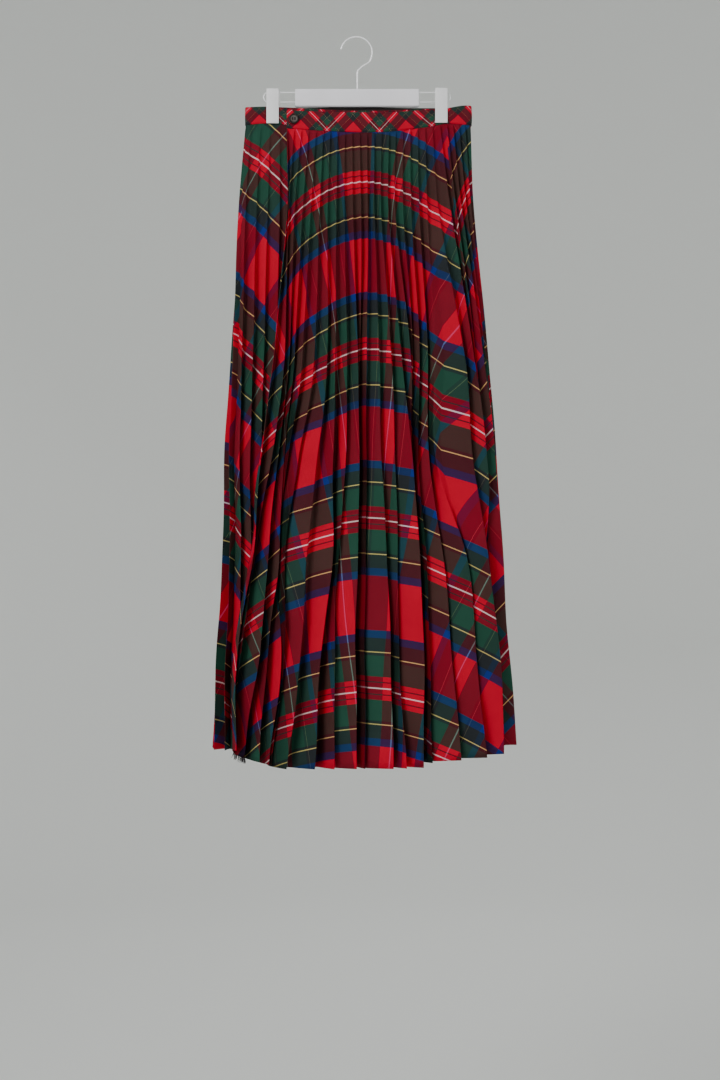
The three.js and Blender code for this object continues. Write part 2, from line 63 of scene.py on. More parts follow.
# The wrap in plan view at seven heights. left and right are the sides' x. outer, inner and back
# are the distances from the middle plane to the lips of the front panel, of the under wrap and of
# the back. right_pleat and left_pleat number the lips at the two sides. The deep rows are the most
# that a pleat is deep, and stray is how far the lips stray from even places. share is how much of
# the way from lip to lip the showing face takes, and lean how far a pleat leans for each
# millimetre of depth.
DROPS = [0, 123, 355, 505, 655, 790, 952]
PLAN = {
    "left": [-168, -179, -192, -200, -205, -214, -223],
    "right": [172, 176, 199, 211, 223, 229, 242],
    "outer": [5.6, 14, 29, 37, 44, 49, 54],
    "inner": [2, 4.5, 10, 12.5, 15, 17, 18],
    "back": [5, 12, 27, 35, 43, 49, 56],
    "front_bow": [6, 4, 3, 2, 0, 0, 0],
    "back_bow": [3, 2, 1, 0, 0, 0, 0],
    "right_pleat": [16.5, 16.4, 15.5, 14.8, 14.4, 14.2, 13.9],
    "left_pleat": [55.2, 55, 54.3, 53.8, 53.3, 52.9, 52.5],
    "under_seam": [-102, -99, -102, -104, -104, -102, -100],
    "under_edge": [140, 139, 142, 145, 147, 146, 146],
    "front_deep": [2, 7, 14, 18, 23, 26, 30],
    "back_deep": [2, 7, 15, 20, 25, 28, 32],
    "under_deep": [1.6, 6.5, 12, 15, 19, 22, 26],
    "stray": [0, 0.5, 1.25, 2, 2.5, 3, 3.5],
    "share": [0.52, 0.55, 0.68, 0.8, 0.88, 0.88, 0.88],
    "lean": [0, 0.05, 0.2, 0.3, 0.35, 0.35, 0.35],
}
BOW_HALF = 116  # the waist opens between the clips, this far each side of the middle
FRONT_REACH, INNER_REACH = -215, 200  # x, past the loose ends of the front and of the under wrap
ROUTE_POINTS, TURN_POINTS = 150, 41
TURN_ROOM = 0.7  # of a side's radius, how deep a pleat may be there
TURN_EASE = 30  # mm past a side over which the pleats reach their full depth

# The band's edges, and how far the hem hangs below it: stretch of the route, x, top, low, fall.
BAND_PLACES = [
    ("front", -105, -109, -137, 926),
    ("front", -86, -112, -138.5, 936),
    ("front", -50, -113.5, -141.5, 948),
    ("front", 6, -115, -144, 946),
    ("front", 50, -114.5, -142.5, 946),
    ("front", 105, -110, -135, 938),
    ("front", 135, -107, -129.5, 930),
    ("front", 158, -103.5, -131, 930),
    ("right side", 172, -103.5, -132, 932),
    ("back", 120, -105.2, -132, 936),
    ("back", 0, -103.4, -134, 945),
    ("back", -120, -105.2, -130, 938),
    ("left side", -168, -105, -131, 937),
    ("inner", -140, -104, -128.5, 937),
    ("inner", -106, -105.5, -130.5, 936),
    ("inner", 6, -112, -140, 938),
    ("inner", 140, -106, -131, 940),
]
BAND_FRONT_END = -105

BIAS_PERIOD = 55.5  # the band's tartan is woven smaller than the skirt's
BIAS_CROSSING = (33.6, 1.9)  # x of a crossing of two white lines, and its height over the low edge


def smooth(keys, values, at):
    """The value at a place between sorted keys, on a smooth line through all the values."""
    keys, values = np.asarray(keys, float), np.asarray(values, float)
    at = np.clip(at, keys[0], keys[-1])
    ahead = np.append(np.arange(1, len(keys)), len(keys) - 1)
    behind = np.append(0, np.arange(len(keys) - 1))
    slope = (values[ahead] - values[behind]) / (keys[ahead] - keys[behind])
    i = np.clip(np.searchsorted(keys, at, side="right") - 1, 0, len(keys) - 2)
    wide = keys[i + 1] - keys[i]
    t = (at - keys[i]) / wide
    return (
        (2 * t**3 - 3 * t**2 + 1) * values[i]
        + (t**3 - 2 * t**2 + t) * wide * slope[i]
        + (3 * t**2 - 2 * t**3) * values[i + 1]
        + (t**3 - t**2) * wide * slope[i + 1]
    )


class Route:
    """The line that the lips follow at one height: across the front, round the right side, across
    the back, round the left side, and across the front again behind the front panel."""

    def __init__(self, drop):
        self.plan = {name: float(smooth(DROPS, row, drop)) for name, row in PLAN.items()}
        plan = self.plan
        self.right_turn = (plan["outer"] + plan["back"]) / 2
        self.left_turn = (plan["back"] + plan["inner"]) / 2
        right_x = plan["right"] - self.right_turn
        left_x = plan["left"] + self.left_turn
        angle = np.linspace(-math.pi / 2, math.pi / 2, TURN_POINTS)[1:-1]
        front_x = np.linspace(FRONT_REACH, right_x, ROUTE_POINTS)
        back_x = np.linspace(right_x, left_x, ROUTE_POINTS)
        inner_x = np.linspace(left_x, INNER_REACH, ROUTE_POINTS)
        right_y = (plan["back"] - plan["outer"]) / 2
        left_y = (plan["back"] - plan["inner"]) / 2
        self.x = np.concatenate([
            front_x,
            right_x + self.right_turn * np.cos(angle),
            back_x,
            left_x - self.left_turn * np.cos(angle),
            inner_x,
        ])
        self.y = np.concatenate([
            -plan["outer"] - plan["front_bow"] * self.bow(front_x),
            right_y + self.right_turn * np.sin(angle),
            plan["back"] + plan["back_bow"] * self.bow(back_x),
            left_y - self.left_turn * np.sin(angle),
            -plan["inner"] - plan["front_bow"] * self.bow(inner_x),
        ])
        steps = np.hypot(np.diff(self.x), np.diff(self.y))
        self.s = np.concatenate([[0], np.cumsum(steps)])
        along_x, along_y = np.gradient(self.x), np.gradient(self.y)
        long = np.hypot(along_x, along_y)
        self.out_x, self.out_y = along_y / long, -along_x / long
        self.right_side = len(front_x) + len(angle) // 2
        self.left_side = len(front_x) + len(angle) + len(back_x) + len(angle) // 2
        self.turn_steps = len(angle) // 2

    def bow(self, x):
        return np.maximum(0, 1 - (x / BOW_HALF) ** 2)

    def front(self, x):
        end = self.right_side + 1
        return np.interp(x, self.x[:end], self.s[:end])

    def back(self, x):
        span = slice(self.left_side, self.right_side, -1)
        return np.interp(x, self.x[span], self.s[span])

    def inner(self, x):
        return np.interp(x, self.x[self.left_side:], self.s[self.left_side:])

    def place(self, stretch, x):
        sides = {"right side": self.s[self.right_side], "left side": self.s[self.left_side]}
        if stretch in sides:
            return sides[stretch]
        return {"front": self.front, "back": self.back, "inner": self.inner}[stretch](x)

    def room(self, s, most):
        """How deep a pleat may be: less where the cloth turns round a side."""
        for middle, radius in ((self.right_side, self.right_turn), (self.left_side, self.left_turn)):
            half = self.s[middle + self.turn_steps] - self.s[middle]
            away = np.clip((np.abs(s - self.s[middle]) - half) / TURN_EASE, 0, 1)
            most = np.minimum(most, TURN_ROOM * radius * (1 - away) + most * away)
        return most

    def point(self, s, depth):
        """x and y at s along the route, moved in from the lips by depth."""
        out_x, out_y = np.interp(s, self.s, self.out_x), np.interp(s, self.s, self.out_y)
        long = np.hypot(out_x, out_y)
        x = np.interp(s, self.s, self.x) - depth * out_x / long
        y = np.interp(s, self.s, self.y) - depth * out_y / long
        return x, y


waist = Route(0)
band_s = [waist.place(stretch, x) for stretch, x, *_ in BAND_PLACES]


def along_route(column):
    """A column of the band's places as a smooth line along the route."""
    return lambda s: smooth(band_s, [place[column] for place in BAND_PLACES], s)


band_top, band_low, hem_fall = along_route(2), along_route(3), along_route(4)


def linked(name, data):
    """A new object of the scene, with its mesh or other data."""
    piece = bpy.data.objects.new(name, data)
    bpy.context.scene.collection.objects.link(piece)
    return piece


def grid_piece(name, points, cut):
    """A mesh from rows of points, in mm, with each point's place on the flat cloth as its UV."""
    rows, columns = points.shape[:2]
    mesh = bpy.data.meshes.new(name)
    index = np.arange(rows * columns).reshape(rows, columns)
    corners = np.stack([index[:-1, :-1], index[1:, :-1], index[1:, 1:], index[:-1, 1:]], axis=-1)
    corners = corners.reshape(-1, 4)
    mesh.from_pydata((points.reshape(-1, 3) * MM).tolist(), [], corners.tolist())
    layer = mesh.uv_layers.new(name="cut")
    layer.data.foreach_set("uv", (cut.reshape(-1, 2)[corners.reshape(-1)] * MM).reshape(-1))
    mesh.polygons.foreach_set("use_smooth", [True] * len(corners))
    return linked(name, mesh)


def give_wall(piece, wall):
    """Gives cloth its thickness, half to either side."""
    solid = piece.modifiers.new("wall", "SOLIDIFY")
    solid.thickness = wall * MM
    solid.offset = 0


def ends_rounded(s, start, end, radius):
    """From 0 at either end of the band to 1 a radius away, on a quarter circle."""
    near = np.clip(np.minimum(s - start, end - s) / radius, 0, 1)
    return np.sqrt(1 - (1 - near) ** 2)


def waistband():
    """The band's piece, and its strip's length and width before it is folded, in metres."""
    start, end = waist.front(BAND_FRONT_END), waist.inner(PLAN["under_edge"][0])
    s = np.linspace(start, end, round((end - start) / BAND_STEP))
    s = np.sort(np.concatenate([s, start + BAND_END_STEPS, end - BAND_END_STEPS]))
    top, low = band_top(s), band_low(s)
    half = (BAND_WALL - BAND_CLOTH) / 2
    fold = np.linspace(0, math.pi, BAND_FOLD_POINTS)[1:-1]
    side = np.linspace(0, 1, BAND_SIDE_POINTS)
    # Round the fold: share of the band's height, and distance from its middle layer.
    outer = [(share, half + BAND_PUFF * math.sin(math.pi * share)) for share in side]
    crest = [(1 + half * math.sin(a) / BAND_DEEP, half * math.cos(a)) for a in fold]
    profile = outer + crest + [(share, -away) for share, away in reversed(outer)]
    rounding = ends_rounded(s, start, end, BAND_END_ROUND)
    sway = sum(size * np.sin(s / length + phase) for size, length, phase in BAND_SWAY)
    points, cut, run = [], [], 0
    crossing = waist.front(BIAS_CROSSING[0])
    for i, (share, away) in enumerate(profile):
        depth = BAND_WALL / 2 - away * rounding + sway * math.sin(math.pi * min(share, 1))
        x, y = waist.point(s, depth)
        points.append(np.stack([x, y, low + share * (top - low) - half], axis=-1))
        if i:
            run += np.median(np.linalg.norm(points[-1] - points[-2], axis=-1))
        along, up = s - crossing, run - BIAS_CROSSING[1]
        cut.append(np.stack([along + up, along - up], axis=-1) / math.sqrt(2))
    points, cut = np.array(points)[::-1], np.array(cut)[::-1]
    piece = grid_piece("waistband_folded", points, cut)
    inside = np.arange(len(profile) - 1)[::-1] >= len(outer) + 1
    piece.data.polygons.foreach_set("material_index", np.repeat(inside, len(s) - 1).astype(int))
    give_wall(piece, BAND_CLOTH)
    return piece, (end - start) * MM, run * MM


class Wire:
    """A node's output that takes part in sums: each operator adds one Math node."""

    def __init__(self, finish, socket):
        self.finish, self.socket = finish, socket

    def math(self, operation, *others):
        values = dict(enumerate((self, *others)))
        return self.finish.node("Math", {"operation": operation}, values)

    def __add__(self, other):
        return self.math("ADD", other)

    def __sub__(self, other):
        return self.math("SUBTRACT", other)

    def __rsub__(self, other):
        return self.finish.node("Math", {"operation": "SUBTRACT"}, {0: other, 1: self})

    def __mul__(self, other):
        return self.math("MULTIPLY", other)

    def __truediv__(self, other):
        return self.math("DIVIDE", other)

    __radd__ = __add__
    __rmul__ = __mul__


class Finish:
    """A material whose nodes are added one call each."""

    def __init__(self, name):
        self.material = bpy.data.materials.new(name)
        self.material.use_nodes = True
        self.tree = self.material.node_tree
        self.tree.nodes.clear()

    def node(self, kind, settings=None, values=None, output=0):
        """Adds a node: its settings first, then the value or the link of each socket."""
        node = self.tree.nodes.new("ShaderNode" + kind)
        for setting, value in (settings or {}).items():
            if setting == "stops":
                self.set_stops(node.color_ramp, value)
            else:
                setattr(node, setting, value)
        for socket, value in (values or {}).items():
            if isinstance(value, Wire):
                self.tree.links.new(value.socket, node.inputs[socket])
            else:
                node.inputs[socket].default_value = value
        return Wire(self, node.outputs[output])

    def set_stops(self, ramp, stops):
        """stops are (place, colour), and the colours don't blend."""
        ramp.interpolation = "CONSTANT"
        while len(ramp.elements) < len(stops):
            ramp.elements.new(1)
        for element, (place, colour) in zip(ramp.elements, stops):
            element.position = place
            element.color = (*colour, 1)

    def split(self, vector):
        parts = self.node("SeparateXYZ", values={0: vector})
        return [Wire(self, socket) for socket in parts.socket.node.outputs]

    def blend(self, share, a, b, how="MIX"):
        settings = {"data_type": "RGBA", "blend_type": how}
        return self.node("Mix", settings, {0: share, 6: a, 7: b}, output=2)

    def surface(self, **values):
        """Ends the material with one Principled BSDF."""
        named = {name.replace("_", " "): value for name, value in values.items()}
        shader = self.node("BsdfPrincipled", values=named)
        end = self.tree.nodes.new("ShaderNodeOutputMaterial")
        self.tree.links.new(shader.socket, end.inputs["Surface"])
        return self.material


# Half a sett, from the middle of its white line to the middle of its wide red: where each stripe
# starts, in mm of the skirt's weft, and its colour.
WHITE = (0.80, 0.56, 0.56)
RED = (0.49, 0.0009, 0.022)
BLACK = (0.018, 0.021, 0.024)
GREEN = (0.015, 0.062, 0.040)
YELLOW = (0.60, 0.46, 0.15)
BLUE = (0.007, 0.025, 0.18)
SETT_HALF = 126
WEFT_SETT = [
    (0, WHITE), (0.6, RED), (8.1, BLACK), (9.7, RED), (17.2, GREEN), (48, BLACK),
    (52.4, YELLOW), (53.8, BLACK), (74.2, BLUE), (85.5, RED),
]
WARP_SETT = [
    (0, WHITE), (0.5, RED), (17.2, GREEN), (48, BLACK),
    (52.7, YELLOW), (53.5, BLACK), (74.2, BLUE), (85.5, RED),
]
BIAS_SETT = [
    (0, WHITE), (1.0, RED), (17.2, GREEN), (48, BLACK), (52.7, YELLOW), (53.3, BLACK), (85.5, RED),
]
PALE_FROM = 0.2  # the white and the yellow hold more green light than this, and no other yarn does
# How much of the weft shows, and the change to that along a pale line of the weft and of the warp.
SKIRT_SHARES = (0.67, 0.25, -0.12)
BAND_SHARES = (0.5, 0.35, -0.35)
TWILL_PITCH = 0.9  # mm between two diagonal ribs
RIB_SHARE = 0.12  # how much more of the weft shows on a rib
EYE_POWER = 10  # threads mix darker than paints do, nearly as their geometric mean
UNLIKE_TINT = (1, 1.2, 0.62, 1)  # red crossed with a dark yarn looks brown
UNLIKE_GAIN = 3.6
PAINTED_SHADE_FROM, PAINTED_SHADE_TO = 0.6, 0.98  # of the deepest fold, where the painted shade in the cloth's colour starts, and where it is full
PAINTED_SHADE_LEFT = 0.3  # how much of the cloth's brightness the painted shade leaves there


def tartan(name, shares, weft, warp):
    """The woven cloth. weft and warp are each a sett, its period and the place of a white line, in
    mm on the flat cloth. Crossed yarns mix, and painted shade darkens the colour where the cloth
    lies deep in a fold."""
    cloth = Finish(name)
    place = cloth.node("UVMap", {"uv_map": "cut"})
    across, down, _ = cloth.split(place)

    def stripes(at, sett, period, white):
        """The stripes' colour, and 1 along the pale lines."""
        half = period / 2 * MM
        fold = (at - white * MM).math("PINGPONG", half) / half
        stops = [(start / SETT_HALF, colour) for start, colour in sett]
        colour = cloth.node("ValToRGB", {"stops": stops}, {0: fold})
        pale = cloth.split(colour)[1].math("GREATER_THAN", PALE_FROM)
        return cloth.node("Gamma", values={"Color": colour, "Gamma": 1 / EYE_POWER}), pale

    weft_colour, weft_pale = stripes(down, *weft)
    warp_colour, warp_pale = stripes(across, *warp)
    rib = ((across + down) * (2 * math.pi / (TWILL_PITCH * MM))).math("SINE")
    share = rib * RIB_SHARE + shares[0] + weft_pale * shares[1] + warp_pale * shares[2]
    woven = cloth.blend(share, warp_colour, weft_colour)
    unlike = (cloth.split(warp_colour)[0] - cloth.split(weft_colour)[0]).math("ABSOLUTE")
    unlike = unlike * UNLIKE_GAIN * (1 - weft_pale.math("MAXIMUM", warp_pale))
    mixed = cloth.node("Gamma", values={"Color": woven, "Gamma": EYE_POWER})
    mixed = cloth.blend(unlike, mixed, UNLIKE_TINT, how="MULTIPLY")
    tone = cloth.node("TexNoise", values={"Vector": place, "Scale": 14, "Detail": 3})
    # The painted shade of the folds, read from the mesh, darkens the colour below.
    deep = cloth.node("Attribute", {"attribute_name": "shade"}, output="Fac")
    painted_fold_shade = cloth.node("MapRange", values={
        "Value": deep, "From Min": PAINTED_SHADE_FROM, "From Max": PAINTED_SHADE_TO, "To Min": 1, "To Max": PAINTED_SHADE_LEFT,
    })
    # Random tone, times the painted shade of the folds.
    value = (tone * 0.3 + 0.85) * painted_fold_shade
    colour = cloth.node("HueSaturation", values={"Value": value, "Color": mixed})
    fuzz = cloth.node("TexNoise", values={"Vector": place, "Scale": 700, "Detail": 2})
    bump = cloth.node("Bump", values={
        "Strength": 0.35, "Distance": 0.25 * MM, "Height": rib * 0.5 + fuzz,
    })
    return cloth.surface(
        Base_Color=colour, Roughness=fuzz * 0.2 + 0.66, Normal=bump, Specular_IOR_Level=0.07
    )


BAND_INSIDE = (0.040, 0.033, 0.033)
GRAIN_PITCH = 0.5  # mm between two threads of the plain cloth


def plain_weave(name, colour):
    """The plain dark weave on the band's inner half."""
    cloth = Finish(name)
    across, down, _ = cloth.split(cloth.node("UVMap", {"uv_map": "cut"}))
    turn = 2 * math.pi / (GRAIN_PITCH * MM)
    weave = (across * turn).math("SINE") * (down * turn).math("SINE")
    shade = cloth.node("HueSaturation", values={"Value": weave * 0.1 + 0.95, "Color": (*colour, 1)})
    bump = cloth.node("Bump", values={"Strength": 0.3, "Distance": 0.1 * MM, "Height": weave})
    return cloth.surface(Base_Color=shade, Roughness=0.85, Normal=bump, Specular_IOR_Level=0.2)


band_piece, band_long, band_wide = waistband()
BIAS_THREADS = (BIAS_SETT, BIAS_PERIOD, 0)
band_piece.data.materials.append(tartan("band_tartan", BAND_SHARES, BIAS_THREADS, BIAS_THREADS))
band_piece.data.materials.append(plain_weave("band_inside", BAND_INSIDE))
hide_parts("waistband")
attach(band_piece, "root")

# ---- The four pleated panels ----
# Each is cut as a quarter circle of tartan, its straight grain down the middle, and pressed into
# 24 knife-edged pleats along the radii. Three seams join them, and the pleats are sewn up into
# the waistband side by side.

CLOTH_WALL = 0.5
WAIST_RADIUS = 217.5
HEM_DROP = 952
PLEAT_DEG = 3.75
FIRST_LIP = -10  # the front wrap's free edge
FRONT_SEAM, BACK_SEAM, UNDER_SEAM, LAST_LIP = 12, 36, 60, 84
BACK_SEAM_X = 3
LEAST_DEPTH = 0.22  # of a face's width
SHUT, OPEN = 0.3, 0.8  # pitch over a face's width: wholly shut, and not at all
TUCKED_DEPTH = 0.95  # of the valley's depth, how deep a lip is when the pleats beside it are shut
SQUEEZED = 10  # mm below the band over which the pleats open to their depth
SQUEEZED_SHARE = 0.25  # of their depth, how deep they are inside the band
BACK_TUCK, TUCK_TURN = 0.1, 2.3  # how far the back's lips lie in by turns, and radians from lip to lip
CALM_LIPS = 3  # beside a seam or an edge, over which the lips start to stray
STRAY_WAVES = [(1, 1.7, 0.6), (0.6, 0.61, 2)]  # size, radians from lip to lip, start
HANG_WAVES = [
    # 0 for x and 1 for y, size, mm of height and of width for a radian, start
    (0, 1.3, 61, 43, 0), (0, 0.8, 27, 19, 0), (1, 2.0, 83, -37, 1), (1, 1.1, 34, 23, 0),
]
PAINTED_SHADE_FULL_FROM = 450  # mm below the band, from where the painted shade of the folds is at its full strength
LIP_ROUND, VALLEY_ROUND = 1.6, 2.2  # how far from a crease its rounding starts
ROUND_SHARE = 0.3  # the most of the way to the next crease that the rounding takes
BULGE = 0.03  # of a face's width
LOOP_WAY = (-0.4, 0.92)  # along the cloth and inwards, where the hidden face of a pleat loops
LOOP_SHARE = 0.95  # of the loop that would take up all the cloth
LOOP_FROM, LOOP_FULL = 0.2, 0.45  # pitch over a face's width: no room for the loop, and room for all
LIP_STEP = 5  # places from lip to lip: the lip, three on the loop, and the valley
PLEAT_PARTS = [0, 0.13, 0.25, 0.37, 0.5]  # how much of its pleat's cloth lies before each place
LIP_TURN, VALLEY_TURN = (0, 0.33, 0.67, 1), (0, 0.5, 1)  # columns round a crease, from 0 to 1
FACE_SHARES = (0.25, 0.5, 0.75)  # columns across a showing face
NEAR_ROWS = [-SEWN_IN, -1, 0.5, 2, 4, 6.5, 9.5, 13, 17, 22, 28, 35, 43]  # drops close to the band
FAR_ROWS_FROM, FAR_ROWS = 52, 76

# The front panel's lips: the most of the way from the lip before it that its showing face takes,
# and where the lip lies across the front at each of the seven heights.
FRONT_LIPS = {
    -10: (1, -105, -103.5, -124, -141, -153.5, -175, -177),
    -9: (0.6, -94, -101.5, -108, -125, -149, -170, -172.5),
    -8: (0.7, -83, -93, -100, -114.5, -131, -143, -161.5),
    -7: (0.6, -72, -81, -93, -105, -113, -129.5, -139.5),
    -6: (0.7, -61, -69, -82, -101.5, -110, -109, -122),
    -5: (1, -50, -56, -64, -88, -106.5, -105, -117.5),
    -4: (1, -40, -44, -44, -60, -74, -84, -101.5),
    -3: (0.62, -29, -31, -32, -36, -35.5, -54.5, -61.5),
    -2: (0.55, -18, -19, -14.3, -17.7, -27.5, -33, -33.7),
    -1: (1, -7, -6, 2.3, 3, 1.5, -1.4, -0.6),
    0: (1, 4, 6, 7, 7.5, 5.5, 3.5, 4),
    1: (1, 15, 16, 14.5, 13.5, 13, 12.5, 12),
    2: (1, 26, 26, 34, 37, 45, 51.5, 53),
    3: (1, 37, 36, 52.4, 57.4, 60, 63.5, 73.5),
    4: (1, 48, 47, 68, 84.3, 93, 99.5, 100),
    5: (1, 58, 57, 81.5, 86, 95.5, 101.5, 102),
    6: (1, 69, 69, 86, 88, 98, 103.5, 104.5),
    7: (1, 80, 81, 94, 93, 102, 107.5, 112.5),
    8: (1, 91, 93, 106, 109, 128, 139, 155.5),
    9: (1, 102, 105, 115, 116, 164, 174, 192),
    10: (1, 113, 121, 160, 172, 195, 210, 219),
    11: (1, 124, 139, 174, 193, 205, 214, 222.5),
    12: (1, 134.5, 147.5, 180, 200, 211, 220, 229),
}
LIPS = np.arange(FIRST_LIP, LAST_LIP + 1)


def lips_at(route, drop):
    """Where each lip lies along the route. Behind the front seam the lips are spread evenly
    between the seams and the sides, and stray a little from there."""
    front = [route.front(smooth(DROPS, places, drop)) for _, *places in FRONT_LIPS.values()]
    marks = {
        FRONT_SEAM: front[-1],
        route.plan["right_pleat"]: route.s[route.right_side],
        BACK_SEAM: route.back(BACK_SEAM_X),
        route.plan["left_pleat"]: route.s[route.left_side],
        UNDER_SEAM: route.inner(route.plan["under_seam"]),
        LAST_LIP: route.inner(route.plan["under_edge"]),
    }
    rest = np.arange(FRONT_SEAM + 1, LAST_LIP + 1)
    calm = np.clip(np.minimum(LAST_LIP - rest, rest - FRONT_SEAM) / CALM_LIPS, 0, 1)
    waves = sum(size * np.sin(turn * rest + start) for size, turn, start in STRAY_WAVES)
    even = np.interp(rest, list(marks), list(marks.values()))
    return np.concatenate([front, even + route.plan["stray"] * calm * waves])


def creases_at(drop):
    """s, x, y and painted shade at one height: a lip, the hidden loop behind it, a valley and the next
    lip by turns. A valley is as deep as the true width of the face between it and the next lip
    makes it, and the loop takes up what is left of the pleat's cloth. The painted shade, which
    darkens the cloth's colour, is from 0 at an open lip to 1 in the deepest fold, and on a face
    that is nearly shut."""
    route = Route(drop)
    lips = lips_at(route, drop)
    face = (WAIST_RADIUS + max(drop, 0)) * math.radians(PLEAT_DEG / 2)
    pitch = np.diff(lips)
    number = LIPS[1:]
    most_share = np.array([FRONT_LIPS[k][0] if k in FRONT_LIPS else 1 for k in number])
    across = pitch * np.minimum(route.plan["share"], most_share)
    lean = route.plan["lean"]
    deepest = np.where(
        number <= FRONT_SEAM,
        route.plan["front_deep"],
        np.where(number <= UNDER_SEAM, route.plan["back_deep"], route.plan["under_deep"]),
    )
    most = route.room(lips[1:], deepest)
    left = np.maximum(face**2 * (1 + lean**2) - across**2, 0)
    true_depth = (np.sqrt(left) - across * lean) / (1 + lean**2)
    depth = np.clip(true_depth, np.minimum(LEAST_DEPTH * face, most), most)
    closed = np.clip((OPEN - pitch / face) / (OPEN - SHUT), 0, 1)
    tucked = np.where(
        number <= FRONT_SEAM,
        closed * np.append(closed[1:], 0),
        BACK_TUCK * (1 + np.sin(TUCK_TURN * number)),
    )
    opened = np.clip(drop / SQUEEZED, 0, 1)
    opened = opened**2 * (3 - 2 * opened)

    def squeezed(deep):
        share = SQUEEZED_SHARE + (1 - SQUEEZED_SHARE) * opened
        return BAND_WALL / 2 + (deep - BAND_WALL / 2) * share

    lip_depth = squeezed(np.append(0, TUCKED_DEPTH * tucked * depth))
    valley_depth = squeezed(depth)
    lip_s = lips - lean * lip_depth
    valley_s = lips[1:] - across - lean * valley_depth
    showing = np.hypot(lip_s[1:] - valley_s, lip_depth[1:] - valley_depth)
    chord = np.hypot(valley_s - lip_s[:-1], valley_depth - lip_depth[:-1])
    hidden = np.maximum(2 * face - showing, chord)
    roomy = opened * np.clip((pitch / face - LOOP_FROM) / (LOOP_FULL - LOOP_FROM), 0, 1)
    # A shallow arch of height h over a chord is as long as the root of chord**2 + 16 / 3 * h**2.
    loop = LOOP_SHARE * roomy * np.sqrt(3 / 16 * (hidden**2 - chord**2))
    s = np.empty(LIP_STEP * len(pitch) + 1)
    deep = np.empty_like(s)
    s[::LIP_STEP], deep[::LIP_STEP] = lip_s, lip_depth
    for i in range(1, LIP_STEP):
        t = i / (LIP_STEP - 1)
        swell = 4 * t * (1 - t) * loop
        s[i::LIP_STEP] = lip_s[:-1] * (1 - t) + valley_s * t + LOOP_WAY[0] * swell
        deep[i::LIP_STEP] = lip_depth[:-1] * (1 - t) + valley_depth * t + LOOP_WAY[1] * swell
    x, y = route.point(s, deep)
    # Painted shade, not depth: how far the cloth's colour is darkened. It grows with depth in the fold,
    # is also put on the lips of nearly shut front faces, and fades out towards the band.
    shade = deep / valley_depth.max()
    shut = np.where(number <= FRONT_SEAM, closed, 0)
    shade[LIP_STEP::LIP_STEP] = np.maximum(shade[LIP_STEP::LIP_STEP], shut)
    return s, x, y, shade * np.clip(drop / PAINTED_SHADE_FULL_FROM, 0, 1)


def rounded(points, number, radius, steps):
    """The columns round one crease, from where its rounding starts to where it ends."""
    before, here, after = points[:, number - 1], points[:, number], points[:, number + 1]
    long_before = np.linalg.norm(here[:, :2] - before[:, :2], axis=-1)[:, None]
    long_after = np.linalg.norm(after[:, :2] - here[:, :2], axis=-1)[:, None]
    cut = np.minimum(radius, ROUND_SHARE * np.minimum(long_before, long_after))
    start = here + (before - here) * cut / long_before
    end = here + (after - here) * cut / long_after
    return [(1 - t) ** 2 * start + 2 * t * (1 - t) * here + t**2 * end for t in steps]


def bulged(start, end):
    """Columns between two creases, on a shallow curve that swells to the cloth's outside."""
    run = end - start
    out = np.stack([run[:, 1], -run[:, 0]], axis=-1)
    columns = []
    for t in FACE_SHARES:
        column = start + run * t
        column[:, :2] += 4 * t * (1 - t) * BULGE * out
        columns.append(column)
    return columns


def whole_wrap(drops):
    """Every column of the pleated cloth, from the front's free edge to the under wrap's: x, y, z,
    q, which counts the pleats, and the painted shade of the folds."""
    heights = [creases_at(drop) for drop in drops]
    waist_s = creases_at(0)[0]
    top, fall = band_low(waist_s), hem_fall(waist_s)
    q = np.append((LIPS[:-1, None] + np.array(PLEAT_PARTS)).reshape(-1), LAST_LIP)
    creases = np.array([
        np.stack([x, y, top - drop * fall / HEM_DROP, q, shade], axis=-1)
        for drop, (_, x, y, shade) in zip(drops, heights)
    ])
    last = creases.shape[1] - 1
    columns = [creases[:, 0]]
    for number in range(1, last + 1):
        part = number % LIP_STEP
        if part == LIP_STEP - 1:
            columns += rounded(creases, number, VALLEY_ROUND, VALLEY_TURN)
        elif part or number == last:
            columns.append(creases[:, number])
        else:
            turn = rounded(creases, number, LIP_ROUND, LIP_TURN)
            columns += bulged(columns[-1], turn[0]) + turn
    return np.stack(columns, axis=1)


def hang_loose(points, drops):
    """Pressed cloth never hangs quite straight: the whole wrap sways a little, more to the hem."""
    x, z = points[..., 0].copy(), points[..., 2]
    loose = (np.clip(drops, 0, None) / HEM_DROP)[:, None]
    for axis, size, height, width, start in HANG_WAVES:
        points[..., axis] += loose * size * np.sin(z / height + x / width + start)


drops = np.concatenate([NEAR_ROWS, np.linspace(FAR_ROWS_FROM, HEM_DROP, FAR_ROWS)])
wrap = whole_wrap(drops)
hang_loose(wrap, drops)

PANELS = [
    # piece, CAD node, first lip, last lip, lip on the straight grain, white weft, white warp
    ("front_wrap_cloth", "front_wrap_panel", FIRST_LIP, FRONT_SEAM, 0.8, 293, 85),
    ("right_back_cloth", "right_back_panel", FRONT_SEAM, BACK_SEAM, 24, 264, -98),
    ("left_back_cloth", "left_back_panel", BACK_SEAM, UNDER_SEAM, 48, 228, 160),
    ("under_wrap_cloth", "under_wrap_panel", UNDER_SEAM, LAST_LIP, 72, 445, 85.5),
]
WEFT_PERIOD, WARP_PERIOD = 252, 212
SEAM_BACK = 0.25  # of a pleat before a seam's lip, halfway across the face, where two panels meet


